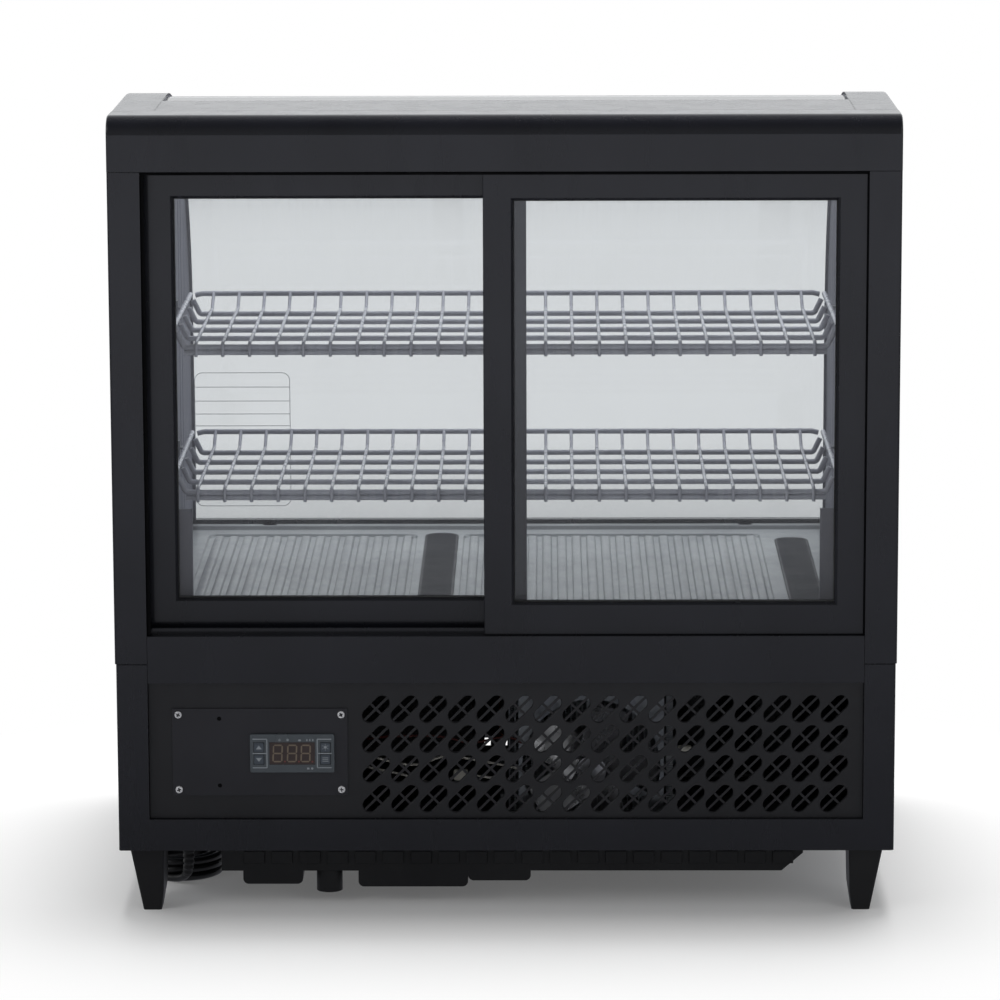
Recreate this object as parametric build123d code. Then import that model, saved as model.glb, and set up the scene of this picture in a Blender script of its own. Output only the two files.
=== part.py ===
from build123d import *
import os
from math import cos, pi, radians, sin, tan

# Countertop refrigerated display case, millimetres. +Z is up and the floor is Z = 0.
# The service side, with the two sliding doors, faces -Y. The curved glass faces +Y.
# "Depth" below is a distance behind the service face, so Y = depth - case_depth / 2.

# ---- overall sizes ----
case_width = 682.0
case_depth = 450.0
case_height = 702.0
front_radius = 255.0         # curve from the flat top down to the customer side
header_radius = 16.0         # rounded upper edge of the service side
foot_height = 56.0
base_inset = 1.0             # the base is this much smaller than the upper body, each side
base_top = 223.0
service_opening_bottom = 84.0
sill_bottom = 206.0
door_opening_bottom = 248.0
header_height = 48.0
post_width = 28.3
frame_depth = 48.0           # depth of the door frame: posts, header, sill
side_thickness = 38.0

# ---- clearances ----
gap = 0.3                    # between neighbouring pieces
shaft_clearance = 0.05       # radial, fan hub on its shaft
screw_clearance = 0.15       # radial, screws and bolts

# ---- sheet and glass ----
sheet = 1.5
frame_wall = 2.0
edge_radius = 3.0
base_front_radius = 10.0
glass_recess = 3.0           # curved glass lies this much below the side outline
glass_thickness = 5.0
glass_flat_run = 58.0        # flat stretch of the curved glass behind the metal top
seal_thickness = 4.0
seal_width = 2.5
pane_thickness = 4.0

# ---- doors ----
door_overlap = 37.2
door_thickness = 14.0
outer_door_depth = 6.0
door_pitch = 20.0            # from the outer track to the inner one
stile = 26.0
top_rail = 25.0
bottom_rail = 28.0
glazing_bite = 6.0           # how far the pane enters the frame
tongue_thickness = 6.0
tongue_height = 8.0
track_groove = 8.0
track_height = 13.0
track_groove_depth = 10.0
track_rib_width = 3.0
track_rib_height = 5.0
track_floor = 1.7
glide_length = 30.0
glide_width = 4.4
glide_height = 2.8
door_groove_width = 5.0

# ---- service panel with the slanted slots ----
panel_recess = 5.0
opening_flange = 12.0        # sheet turned inwards round the service opening
panel_thickness = 2.5
slot_length = 28.3
slot_width = 12.5
slot_recess = 1.0
slot_bar = 2.1
slot_columns = 17
slot_rows = 4
slot_pitch_x = 25.05
slot_pitch_z = 26.8
first_slot_x = -113.6
first_slot_z = 182.0
slot_tilt = 45.0

# ---- control plate and controller ----
plate_x0, plate_x1 = -292.0, -138.5
plate_z0, plate_z1 = 105.0, 183.0
plate_screw_margin_x, plate_screw_margin_z = 5.5, 5.4
screw_radius = 1.75
screw_head_radius = 3.2
screw_head_height = 1.6
screw_length = 9.0
bezel_x0, bezel_x1 = -224.0, -150.0
bezel_z0, bezel_z1 = 126.0, 160.6
bezel_thickness = 2.5
controller_body_width, controller_body_height = 70.5, 28.5
controller_body_depth = 58.0
window_width, window_height, window_thickness = 40.0, 20.0, 0.8
key_width, key_height, key_thickness = 8.6, 8.4, 1.5
key_proud = 0.7
key_travel = 0.6
key_inset_x = 3.6            # key's outer side from the bezel's edge
key_spread_z = 5.4           # key centre above or below the bezel's centre
plate_hole_radius = 1.8
plate_hole_inset_x = 41.3
plate_hole_inset_z = 9.0

# ---- feet ----
foot_inset, foot_width = 10.0, 30.0
foot_outer_taper, foot_inner_taper = 11.0, 3.0
foot_start_depth, foot_end_depth = 8.0, 62.0
foot_toe_depth = 34.0
foot_knee_depth, foot_knee_height = 58.0, 16.0
foot_edge = 2.5
bolt_radius = 4.0
bolt_head_radius, bolt_head_height = 7.5, 5.3
bolt_bite = 26.0             # length of bolt inside the foot
pan_thickness = 2.0

# ---- under tray ----
tray_x0, tray_x1 = -252.0, 262.0
tray_start_depth, tray_front_margin = 30.0, 65.0
tray_bottom = 30.0
tray_wall = 2.2
tray_slope_run = 20.0
tray_pad_width, tray_pad_pitch, tray_pad_proud = 18.0, 24.6, 2.0
tray_pad_bottom, tray_pad_top = 37.0, 48.0
tray_pad_count = 20
tray_pockets = [(-233.0, -180.0, 18.0, 150.0), (-131.0, -34.0, 15.5, 210.0), (-33.9, 21.5, 21.0, 180.0)]
tray_boss_x, tray_boss_radius, tray_boss_bottom = -157.0, 11.5, 10.0

# ---- deck ----
deck_top = 263.0
deck_skin = 1.8
deck_foam_thickness = 30.0
rail_rise, rail_width = 8.0, 18.0
rib_height, rib_width, rib_pitch = 1.6, 8.5, 13.75
rib_fields = [(-276.0, 14), (-34.0, 20)]
rib_start_depth, rib_end_margin = 66.0, 33.5
vent_width = 31.5
vent_thickness = 3.0
vents = [(-63.2, 60.0, 27.5), (266.5, 60.0, 51.5)]   # x, first depth, margin to the deck's far edge
vent_slot, vent_slot_pitch, vent_border = 2.6, 5.2, 4.0

# ---- shelves ----
shelf_wire_pitch = 23.5
shelf_wire_radius = 1.5
shelf_rod_radius = 2.4
shelf_near_depth = 60.0
shelf_bend_depth = 272.0
shelf_far_depth = 296.0
shelf_lip = 12.0
shelf_side_margin = 11.0     # from the liner to the side wires
shelf_end_run = 11.0
shelf_end_rise = 13.0
shelf_rod_count = 5
shelf_tip_drop = 8.0
shelf_heights = {"shelf_upper": 494.0, "shelf_lower": 365.0}
shelf_lift = 30.0

# ---- shelf standards and clips ----
standard_depths = [136.0, 238.0]
standard_width, standard_thickness = 16.0, 2.0
standard_above_deck, standard_below_top = 3.0, 62.0
standard_slot_w, standard_slot_h, standard_slot_pitch = 4.0, 12.0, 21.0
clip_width, clip_thickness, clip_reach = 10.0, 2.0, 11.5

# ---- ceiling and light ----
ceiling_drop = 30.0          # from the top of the case to the ceiling
ceiling_thickness = 2.0
light_end_gap, light_width = 18.0, 30.0
light_margin = 7.0           # from the light to the end of the metal top
light_height = 17.0
light_wall = 1.5
diffuser_thickness = 2.0

# ---- cold unit ----
tub_margin = 5.0             # from the tub to the liner
tub_x1 = -30.0
tub_start_depth, tub_front_margin = 90.0, 22.0
tub_bottom, tub_wall = 118.0, 10.0
evaporator_width = 106.0
evaporator_margin = 20.0     # from the tub to the evaporator
evaporator_height = 86.0
evaporator_fan_x, evaporator_fan_depth = -139.0, 260.0
evaporator_fan_radius = 38.0
fan_plate_border = 6.0
condenser_x0, condenser_x1 = 2.0, 148.0
condenser_start_depth, condenser_end_depth = 76.0, 128.0
condenser_height = 136.0
condenser_fan_x, condenser_fan_depth = 75.0, 40.0
condenser_fan_radius = 58.0
fin_pitch, fin_thickness, fin_spine = 5.0, 1.2, 4.0
tube_radius = 4.0
hub_radius, hub_length = 13.0, 13.0
rotor_lift = 4.0             # rotor in front of the fan plate's back
fan_shaft_radius = 3.0
fan_motor_radius, fan_motor_length = 19.0, 24.0
fan_blade_count, fan_blade_pitch, fan_blade_thickness, fan_blade_chord = 5, 28.0, 1.4, 38.0
compressor_x, compressor_depth = 172.0, 290.0
compressor_radius, compressor_height = 62.0, 134.0
compressor_foot_span, compressor_foot_thickness = 150.0, 3.0
rubber_radius, rubber_height = 11.0, 12.0
drier_radius, drier_length = 9.0, 80.0

# ---- power cord ----
cord_radius = 3.5
gland_x, gland_y = -285.0, -140.0
gland_end_z = 36.0
coil_x, coil_y = -295.5, -83.0
coil_turn_radius = 34.0
coil_layers = 3
plug_length, plug_width, plug_height = 38.0, 27.0, 19.0
plug_x, plug_y = -263.0, 158.0
lead_route = [
    (gland_x, gland_y, gland_end_z),
    (-285.0, -140.0, 22.0),
    (-287.5, -133.0, 9.5),
    (-296.0, -123.0, 3.9),
    (-311.0, -114.0, 3.7),
]
tail_route = [
    (-322.5, -84.0, 18.0),
    (-322.6, -75.0, 22.5),
    (-321.5, -63.0, 27.0),
    (-319.0, -48.0, 26.0),
    (-315.5, -31.0, 14.0),
    (-310.0, -12.0, 5.0),
    (-301.0, 9.0, 3.8),
    (-290.0, 33.0, 3.9),
    (-281.0, 61.0, 3.7),
    (-272.0, 88.0, 3.9),
    (-267.0, 114.0, 5.5),
    (plug_x, 139.0, plug_height / 2),
    (plug_x, plug_y, plug_height / 2),
]

# ---- worked out from the sizes above ----
half_width = case_width / 2
half_depth = case_depth / 2
liner_x = half_width - side_thickness
door_opening_half = half_width - post_width
door_opening_top = case_height - header_height
door_width = door_opening_half - gap + door_overlap / 2
glass_top_start = case_depth - front_radius - glass_flat_run
foot_outer_x = half_width - foot_inset
foot_inner_x = foot_outer_x - foot_width
foot_toe_x = foot_outer_x - foot_outer_taper
foot_inner_toe_x = foot_inner_x + foot_inner_taper
tray_end_depth = case_depth - tray_front_margin
rail_start_depth = case_depth - rail_width
rail_top = deck_top + rail_rise
deck_end_depth = rail_start_depth - 0.5
rib_end_depth = deck_end_depth - rib_end_margin
shelf_end_x = liner_x - shelf_side_margin
shelf_bend_x = shelf_end_x - shelf_end_run
shelf_wire_count = int(2 * shelf_bend_x / shelf_wire_pitch) + 1
standard_bottom = deck_top + standard_above_deck
standard_top = case_height - standard_below_top
ceiling_height = case_height - ceiling_drop
light_half_length = liner_x - light_end_gap
light_end_depth = glass_top_start - light_margin
light_start_depth = light_end_depth - light_width
tub_x0 = tub_margin - liner_x
evaporator_x0 = tub_x0 + evaporator_margin
evaporator_x1 = evaporator_x0 + evaporator_width
tub_end_depth = case_depth - tub_front_margin
evaporator_start_depth = tub_start_depth + evaporator_margin
evaporator_end_depth = tub_end_depth - evaporator_margin + 2.0
inner_half = liner_x - gap
door_z0 = door_opening_bottom + 0.5
door_z1 = door_opening_top - gap
door_depths = {"door_right": outer_door_depth, "door_left": outer_door_depth + door_pitch}
door_starts = {"door_right": door_opening_half - gap - door_width, "door_left": -door_opening_half + gap}
panel_front = panel_recess
plate_front = panel_front - sheet
bezel_front = plate_front - bezel_thickness
bezel_x = (bezel_x0 + bezel_x1) / 2
bezel_z = (bezel_z0 + bezel_z1) / 2
pan_top = foot_height + pan_thickness
condenser_z = pan_top + gap
evaporator_z = tub_bottom + tub_wall + gap
condenser_fan_z = pan_top + gap + condenser_fan_radius + fan_plate_border
evaporator_fan_z = tub_bottom + tub_wall + gap + evaporator_fan_radius + fan_plate_border
key_places = {
    "key_up": (bezel_x0 + key_inset_x + key_width / 2, bezel_z + key_spread_z),
    "key_down": (bezel_x0 + key_inset_x + key_width / 2, bezel_z - key_spread_z),
    "key_lamp": (bezel_x1 - key_inset_x - key_width / 2, bezel_z + key_spread_z),
    "key_set": (bezel_x1 - key_inset_x - key_width / 2, bezel_z - key_spread_z),
}


def block(x0, x1, depth0, depth1, z0, z1):
    """A box between two X values, two depths and two heights."""
    middle = Pos((x0 + x1) / 2, (depth0 + depth1) / 2 - half_depth, (z0 + z1) / 2)
    return middle * Box(x1 - x0, depth1 - depth0, z1 - z0)


def rod_x(x0, x1, depth, z, radius):
    """A round bar along X."""
    return Pos((x0 + x1) / 2, depth - half_depth, z) * Rot(0, 90, 0) * Cylinder(radius, x1 - x0)


def rod_y(x, depth0, depth1, z, radius):
    """A round bar along Y."""
    return Pos(x, (depth0 + depth1) / 2 - half_depth, z) * Rot(90, 0, 0) * Cylinder(radius, depth1 - depth0)


def rod_z(x, depth, z0, z1, radius):
    """A round bar along Z."""
    return Pos(x, depth - half_depth, (z0 + z1) / 2) * Cylinder(radius, z1 - z0)


def along_x(edges, x0, x1):
    """A closed outline drawn as (depth, height), carried along X."""
    return Pos(x0, 0, 0) * extrude(Plane.YZ * Pos(-half_depth, 0) * make_face(edges), amount=x1 - x0)


def polygon_x(points, x0, x1):
    """A straight-sided outline of (depth, height) points, carried along X."""
    return along_x(Polyline(*points, close=True).edges(), x0, x1)


def case_outline(inset, start_depth, bottom):
    """The side outline moved inwards: flat top, one large arc, upright customer side."""
    top = case_height - inset
    front = case_depth - inset
    arc_depth = case_depth - front_radius
    arc_z = case_height - front_radius
    radius = front_radius - inset
    middle = (arc_depth + radius * sin(pi / 4), arc_z + radius * cos(pi / 4))
    corner = Polyline((arc_depth, top), (start_depth, top), (start_depth, bottom), (front, bottom), (front, arc_z))
    return corner.edges() + [ThreePointArc((front, arc_z), middle, (arc_depth, top))]


def curved_strip(inset, thickness, bottom, x0, x1):
    """A bent pane or strip that follows the case's outline from the top panel to the rail."""
    outer = front_radius - inset
    inner = outer - thickness
    arc_depth = case_depth - front_radius
    arc_z = case_height - front_radius
    start = glass_top_start + gap
    half = sin(pi / 4)
    edges = [
        Line((start, arc_z + outer), (arc_depth, arc_z + outer)),
        ThreePointArc(
            (arc_depth, arc_z + outer),
            (arc_depth + outer * half, arc_z + outer * half),
            (arc_depth + outer, arc_z),
        ),
        Line((arc_depth + outer, arc_z), (arc_depth + outer, bottom)),
        Line((arc_depth + outer, bottom), (arc_depth + inner, bottom)),
        Line((arc_depth + inner, bottom), (arc_depth + inner, arc_z)),
        ThreePointArc(
            (arc_depth + inner, arc_z),
            (arc_depth + inner * half, arc_z + inner * half),
            (arc_depth, arc_z + inner),
        ),
        Line((arc_depth, arc_z + inner), (start, arc_z + inner)),
        Line((start, arc_z + inner), (start, arc_z + outer)),
    ]
    return along_x(edges, x0, x1)


def pair(piece):
    """The piece and its mirror image on the other side of the case."""
    return [piece, mirror(piece, Plane.YZ)]


# ---------------- base ----------------

def make_base_wrap():
    """Sheet band round the machine space, open at the service side between the stiles."""
    width = case_width - 2 * base_inset
    depth = case_depth - base_inset
    height = base_top - gap - foot_height
    outline = Rectangle(width, depth)
    outline = fillet(outline.vertices().sort_by(Axis.Y)[-2:], base_front_radius)
    outline = fillet(outline.vertices().sort_by(Axis.Y)[:2], edge_radius)
    hollow = Rectangle(width - 2 * sheet, depth - 2 * sheet)
    hollow = fillet(hollow.vertices().sort_by(Axis.Y)[-2:], base_front_radius - sheet)
    hollow = fillet(hollow.vertices().sort_by(Axis.Y)[:2], edge_radius - sheet)
    band = extrude(outline - hollow, amount=height)
    band = Pos(0, -base_inset / 2, foot_height) * band
    opening = block(
        -door_opening_half, door_opening_half, -1, edge_radius + sheet, service_opening_bottom, base_top + 1
    )
    band -= opening
    lower = service_opening_bottom - sheet
    outside = door_opening_half + sheet
    band += block(-outside, outside, sheet / 2, opening_flange, lower, service_opening_bottom)
    for side in pair(block(door_opening_half, outside, sheet / 2, opening_flange, lower, sill_bottom)):
        band += side
    return band


def make_base_pan():
    """Floor plate with holes for the foot bolts and the cable gland."""
    half = half_width - base_inset - sheet - gap
    front = case_depth - base_inset - sheet - gap
    pan = block(-half, half, sheet + gap, front, foot_height, pan_top)
    pan = fillet(pan.edges().filter_by(Axis.Z), base_front_radius - sheet)
    for x, depth in foot_centres():
        pan -= rod_z(x, depth, foot_height - 1, pan_top + 1, bolt_radius + screw_clearance)
    pan -= rod_z(gland_x, gland_y + half_depth, foot_height - 1, pan_top + 1, 8.0)
    for number in range(9):
        slot_x = -40.0 + number * 16.0
        pan -= block(slot_x, slot_x + 6.0, 395.0, 435.0, foot_height - 1, pan_top + 1)
    return pan


def foot_centres():
    """Bolt axes of the four feet, as (x, depth)."""
    x = (foot_outer_x + foot_inner_x) / 2
    near = (foot_start_depth + foot_end_depth) / 2 - 9.0
    return [(sx * x, depth) for sx in (-1, 1) for depth in (near, case_depth - near)]


def make_feet():
    """Tapered leg: one outline from the front, one from the side, and their common solid."""
    front = Polyline(
        (foot_inner_x, foot_height), (foot_outer_x, foot_height), (foot_toe_x, 0),
        (foot_inner_toe_x, 0), (foot_inner_x + 1.0, foot_knee_height), close=True,
    )
    side = [
        (foot_start_depth, foot_height), (foot_end_depth, foot_height), (foot_knee_depth, foot_knee_height),
        (foot_toe_depth, 0), (foot_start_depth + 1.5, 0),
    ]
    upright = extrude(Plane.XZ * make_face(front.edges()), amount=half_depth + 1)
    foot = polygon_x(side, foot_inner_x - 1, foot_outer_x + 1) & upright
    foot = fillet(foot.edges().filter_by(lambda e: abs(e.tangent_at(0.5).Z) > 0.7), foot_edge)
    x, depth = foot_centres()[-2]
    foot -= rod_z(x, depth, foot_height - bolt_bite - 1.0, foot_height + 1, bolt_radius + screw_clearance)
    near = pair(foot)
    return near + [mirror(leg, Plane.XZ) for leg in near]


def make_foot_bolts():
    """Hexagon bolts that hold the feet to the floor plate."""
    bolts = []
    for x, depth in foot_centres():
        shank = rod_z(x, depth, foot_height - bolt_bite, pan_top, bolt_radius)
        head = extrude(RegularPolygon(bolt_head_radius, 6), amount=bolt_head_height)
        bolts.append(shank + Pos(x, depth - half_depth, pan_top) * head)
    return bolts


def make_under_tray():
    """Moulded condensate tray with deeper pockets, a drain boss and pads along its rear wall."""
    top = foot_height - gap
    outer = block(tray_x0, tray_x1, tray_start_depth, tray_end_depth, tray_bottom, top)
    slope = Polyline(
        (tray_x1 - tray_slope_run, tray_bottom - 1), (tray_x1 + 1, tray_bottom + tray_slope_run - 3),
        (tray_x1 + 1, tray_bottom - 1), close=True,
    )
    wedge = extrude(Plane.XZ * make_face(slope.edges()), amount=half_depth + 1, both=True)
    inner = block(
        tray_x0 + tray_wall, tray_x1 - tray_wall, tray_start_depth + tray_wall,
        tray_end_depth - tray_wall, tray_bottom + tray_wall, top + 1,
    )
    tray = outer - wedge
    inner -= Pos(-tray_wall, 0, tray_wall) * wedge
    for x0, x1, bottom, length in tray_pockets:
        pocket = block(x0, x1, tray_start_depth, tray_start_depth + length, bottom, tray_bottom + tray_wall)
        tray += fillet(pocket.edges().filter_by(Axis.Y).sort_by(Axis.Z)[:2], 5.0)
        inner += block(
            x0 + tray_wall, x1 - tray_wall, tray_start_depth + tray_wall,
            tray_start_depth + length - tray_wall, bottom + tray_wall, tray_bottom + tray_wall,
        )
    boss_depth = tray_start_depth + tray_boss_radius + 1.0
    tray += rod_z(tray_boss_x, boss_depth, tray_boss_bottom, tray_bottom + tray_wall, tray_boss_radius)
    inner += rod_z(
        tray_boss_x, boss_depth, tray_boss_bottom + tray_wall, tray_bottom + tray_wall,
        tray_boss_radius - tray_wall,
    )
    for number in range(tray_pad_count):
        x0 = tray_x0 + 20.0 + number * tray_pad_pitch
        tray += block(
            x0, x0 + tray_pad_width, tray_start_depth - tray_pad_proud, tray_start_depth,
            tray_pad_bottom, tray_pad_top,
        )
    return tray - inner


# ---------------- service panel ----------------

def quarter_slots():
    """One slanted slot split by its cross: four faces, drawn about the origin."""
    slot = SlotOverall(slot_length, slot_width)
    cross = Rectangle(slot_length + 2, slot_bar) + Rectangle(slot_bar, slot_width + 2)
    return (Rot(0, 0, slot_tilt) * (slot - cross)).faces()


def slot_places():
    """Centres of all slots as (x, z)."""
    return [
        (first_slot_x + column * slot_pitch_x, first_slot_z - row * slot_pitch_z)
        for column in range(slot_columns)
        for row in range(slot_rows)
    ]


def make_service_panel():
    """Flat panel: the slots' quarters go right through, and each slot is sunk a little from outside."""
    half = door_opening_half - gap
    z0 = service_opening_bottom + gap
    z1 = sill_bottom - gap
    border = Pos(0, (z0 + z1) / 2) * Rectangle(2 * half, z1 - z0)
    holes = []
    for x, z in slot_places():
        holes += [quarter.moved(Location((x, z, 0))).outer_wire() for quarter in quarter_slots()]
    body_gap = Pos(bezel_x, bezel_z) * Rectangle(controller_body_width + 8, controller_body_height + 8)
    holes.append(body_gap.face().outer_wire())
    for x, z in plate_screw_places():
        holes.append((Pos(x, z) * Circle(screw_radius + screw_clearance)).face().outer_wire())
    face = Face(border.face().outer_wire(), holes)
    back = panel_front + panel_thickness - half_depth
    panel = extrude(Plane.XZ.offset(-back) * face, amount=panel_thickness)
    sunk = [Pos(x, z) * Rot(0, 0, slot_tilt) * SlotOverall(slot_length + 1.2, slot_width + 1.2) for x, z in slot_places()]
    cutter = extrude(Plane.XZ.offset(-(panel_front + slot_recess - half_depth)) * Sketch(children=sunk), amount=2)
    return panel - cutter


def plate_screw_places():
    """Centres of the four screws of the control plate as (x, z)."""
    xs = (plate_x0 + plate_screw_margin_x, plate_x1 - plate_screw_margin_x)
    zs = (plate_z0 + plate_screw_margin_z, plate_z1 - plate_screw_margin_z)
    return [(x, z) for x in xs for z in zs]


def make_control_plate():
    """Flat plate with the controller's cut-out, four screw holes and two small spare holes."""
    plate = block(plate_x0, plate_x1, plate_front, panel_front, plate_z0, plate_z1)
    plate = fillet(plate.edges().filter_by(Axis.Y), 1.5)
    plate -= block(
        bezel_x - controller_body_width / 2 - gap, bezel_x + controller_body_width / 2 + gap,
        plate_front - 1, panel_front + 1,
        bezel_z - controller_body_height / 2 - gap, bezel_z + controller_body_height / 2 + gap,
    )
    for x, z in plate_screw_places():
        plate -= rod_y(x, plate_front - 1, panel_front + 1, z, screw_radius + screw_clearance)
    for z in (plate_z0 + plate_hole_inset_z, plate_z1 - plate_hole_inset_z):
        plate -= rod_y(plate_x0 + plate_hole_inset_x, plate_front - 1, panel_front + 1, z, plate_hole_radius)
    return plate


def make_plate_screws():
    """Pan-head screws with a cross recess."""
    screws = []
    for x, z in plate_screw_places():
        front = plate_front - screw_head_height
        head = rod_y(x, front, plate_front, z, screw_head_radius)
        head = fillet(head.edges().sort_by(Axis.Y)[0], 0.9)
        head += rod_y(x, plate_front, plate_front + screw_length, z, screw_radius)
        for wide, tall in ((3.6, 0.8), (0.8, 3.6)):
            head -= block(x - wide / 2, x + wide / 2, front - 1, front + 0.9, z - tall / 2, z + tall / 2)
        screws.append(head)
    return screws


def make_controller_body():
    """Bezel in front of the plate and the housing behind it, with pockets for window and keys."""
    bezel = block(bezel_x0, bezel_x1, bezel_front, plate_front, bezel_z0, bezel_z1)
    bezel = fillet(bezel.edges().filter_by(Axis.Y), 2.0)
    bezel = fillet(bezel.faces().sort_by(Axis.Y)[0].edges(), 0.6)
    housing = block(
        bezel_x - controller_body_width / 2, bezel_x + controller_body_width / 2,
        plate_front, plate_front + controller_body_depth,
        bezel_z - controller_body_height / 2, bezel_z + controller_body_height / 2,
    )
    body = bezel + housing
    body -= block(
        bezel_x - window_width / 2, bezel_x + window_width / 2, bezel_front - 1,
        bezel_front + window_thickness, bezel_z - window_height / 2, bezel_z + window_height / 2,
    )
    pocket_depth = key_thickness - key_proud + key_travel + gap
    for x, z in key_places.values():
        body -= block(
            x - key_width / 2 - gap, x + key_width / 2 + gap, bezel_front - 1, bezel_front + pocket_depth,
            z - key_height / 2 - gap, z + key_height / 2 + gap,
        )
    return body


def make_controller_window():
    """Tinted window in front of the digits."""
    inset = gap / 3
    return block(
        bezel_x - window_width / 2 + inset, bezel_x + window_width / 2 - inset, bezel_front + 0.1,
        bezel_front + window_thickness, bezel_z - window_height / 2 + inset, bezel_z + window_height / 2 - inset,
    )


def make_key(name):
    """One push key with a softly rounded face."""
    x, z = key_places[name]
    front = bezel_front - key_proud
    key = block(
        x - key_width / 2, x + key_width / 2, front, front + key_thickness,
        z - key_height / 2, z + key_height / 2,
    )
    key = fillet(key.edges().filter_by(Axis.Y), 1.2)
    return fillet(key.faces().sort_by(Axis.Y)[0].edges(), 0.4)


# ---------------- door frame of the case ----------------

def make_rear_sill():
    """Trim band under the doors with the shelf that carries the lower track."""
    half = door_opening_half - gap
    shelf_top = door_opening_bottom - track_floor - gap
    points = [
        (0, sill_bottom + gap), (frame_wall, sill_bottom + gap), (frame_wall, shelf_top - frame_wall),
        (frame_depth, shelf_top - frame_wall), (frame_depth, shelf_top), (frame_wall, shelf_top),
        (frame_wall, door_opening_bottom), (0, door_opening_bottom),
    ]
    return polygon_x(points, -half, half)


def door_middle(name):
    """Depth of a door's middle plane."""
    return door_depths[name] + door_thickness / 2


def make_lower_track():
    """Track plate with one rib for each door."""
    half = door_opening_half - gap
    base = door_opening_bottom - track_floor
    track = block(-half, half, frame_wall + gap, frame_depth - 1.0, base, door_opening_bottom)
    for name in door_depths:
        middle = door_middle(name)
        track += block(
            -half, half, middle - track_rib_width / 2, middle + track_rib_width / 2,
            door_opening_bottom, door_opening_bottom + track_rib_height,
        )
    return track


def make_upper_track():
    """Track in the header with one groove for each door's tongue."""
    half = door_opening_half - gap
    z0 = door_opening_top + 1.0
    track = block(-half, half, frame_wall + gap, frame_depth - 1.0, z0, z0 + track_height)
    for name in door_depths:
        middle = door_middle(name)
        track -= block(
            -half - 1, half + 1, middle - track_groove / 2, middle + track_groove / 2,
            z0 - 1, z0 + track_groove_depth,
        )
    return track


def make_rear_posts():
    """Hollow upright posts at both sides of the doors."""
    z0 = base_top + gap
    post = block(door_opening_half, half_width, 0, frame_depth, z0, door_opening_top)
    outer_edges = post.edges().filter_by(Axis.Z).sort_by(Axis.X)[-2:].sort_by(Axis.Y)[:1]
    post = fillet(outer_edges, edge_radius)
    post -= block(
        door_opening_half + frame_wall, half_width - frame_wall, frame_wall, frame_depth - frame_wall,
        z0 + frame_wall, door_opening_top - frame_wall,
    )
    return pair(post)


def make_rear_header():
    """Sheet header with a rounded upper edge, open below and towards the chamber."""
    z0 = door_opening_top + gap

    def outline(inset):
        turn = header_radius - inset
        return [
            Line((inset, z0), (inset, case_height - header_radius)),
            ThreePointArc(
                (inset, case_height - header_radius),
                (header_radius - turn * sin(pi / 4), case_height - header_radius + turn * sin(pi / 4)),
                (header_radius, case_height - inset),
            ),
            Line((header_radius, case_height - inset), (frame_depth, case_height - inset)),
            Line((frame_depth, case_height - inset), (frame_depth, z0)),
            Line((frame_depth, z0), (inset, z0)),
        ]

    outer = along_x(outline(0), -half_width, half_width)
    ends = outer.edges().filter_by(lambda e: abs(abs(e.center().X) - half_width) < 0.01)
    ends = ends.filter_by(lambda e: e.center().Z > z0 + 1 and e.center().Y < frame_depth - half_depth - 1)
    outer = fillet(ends, 2.0)
    inner = along_x(outline(frame_wall), -half_width + frame_wall, half_width - frame_wall)
    room = inner + Pos(0, 0, -5) * inner + Pos(0, 3, 0) * inner
    return outer - room


# ---------------- side walls ----------------

def make_side_shell():
    """Painted outer pan of the right side wall, filled with foam and closed by the liner."""
    start = frame_depth + gap
    bottom = base_top + gap
    shell = along_x(case_outline(0, start, bottom), liner_x, half_width)
    shell = fillet(shell.faces().sort_by(Axis.X)[-1].edges().filter_by(lambda e: e.center().Z > bottom + 1), edge_radius)
    return shell - along_x(case_outline(sheet, start + sheet, bottom + sheet), liner_x - 1, half_width - sheet)


def wall_filling(x0, x1):
    """A slab inside the side shell's rim."""
    start = frame_depth + gap + sheet + 0.2
    return along_x(case_outline(sheet + 0.2, start, base_top + gap + sheet + 0.2), x0, x1)


def make_side_liner():
    """Inner wall of the right side with shallow upright ribs at both ends of its depth."""
    liner = wall_filling(liner_x, liner_x + 2.0)
    for depth in (62.0, 84.0, 300.0, 330.0):
        liner -= block(liner_x - 1, liner_x + 0.8, depth, depth + 4.0, deck_top + 4, case_height - 92.0)
    return liner


def make_standard(depth):
    """Slotted strip on the right liner."""
    x1 = liner_x
    strip = block(
        x1 - standard_thickness, x1, depth - standard_width / 2, depth + standard_width / 2,
        standard_bottom, standard_top,
    )
    count = int((standard_top - standard_bottom - standard_slot_h) / standard_slot_pitch)
    for number in range(count):
        z = standard_bottom + standard_slot_h + number * standard_slot_pitch
        strip -= block(
            x1 - standard_thickness - 1, x1 + 1, depth - standard_slot_w / 2, depth + standard_slot_w / 2,
            z, z + standard_slot_h,
        )
    return strip


def make_shelf_standards():
    """Four slotted standards, two on each liner."""
    return [strip for depth in standard_depths for strip in pair(make_standard(depth))]


def make_shelf_clips():
    """Bent clips under the shelves' side wires."""
    clips = []
    x1 = liner_x - standard_thickness
    for height in shelf_heights.values():
        seat = height + shelf_end_rise - shelf_rod_radius - gap
        for depth in standard_depths:
            d0, d1 = depth - clip_width / 2, depth + clip_width / 2
            clip = block(x1 - clip_reach, x1, d0, d1, seat - clip_thickness, seat)
            clip += block(x1 - clip_thickness, x1, d0, d1, seat - 14.0, seat + 6.0)
            clips += pair(clip)
    return clips


# ---------------- top, glass, rail ----------------

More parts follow.
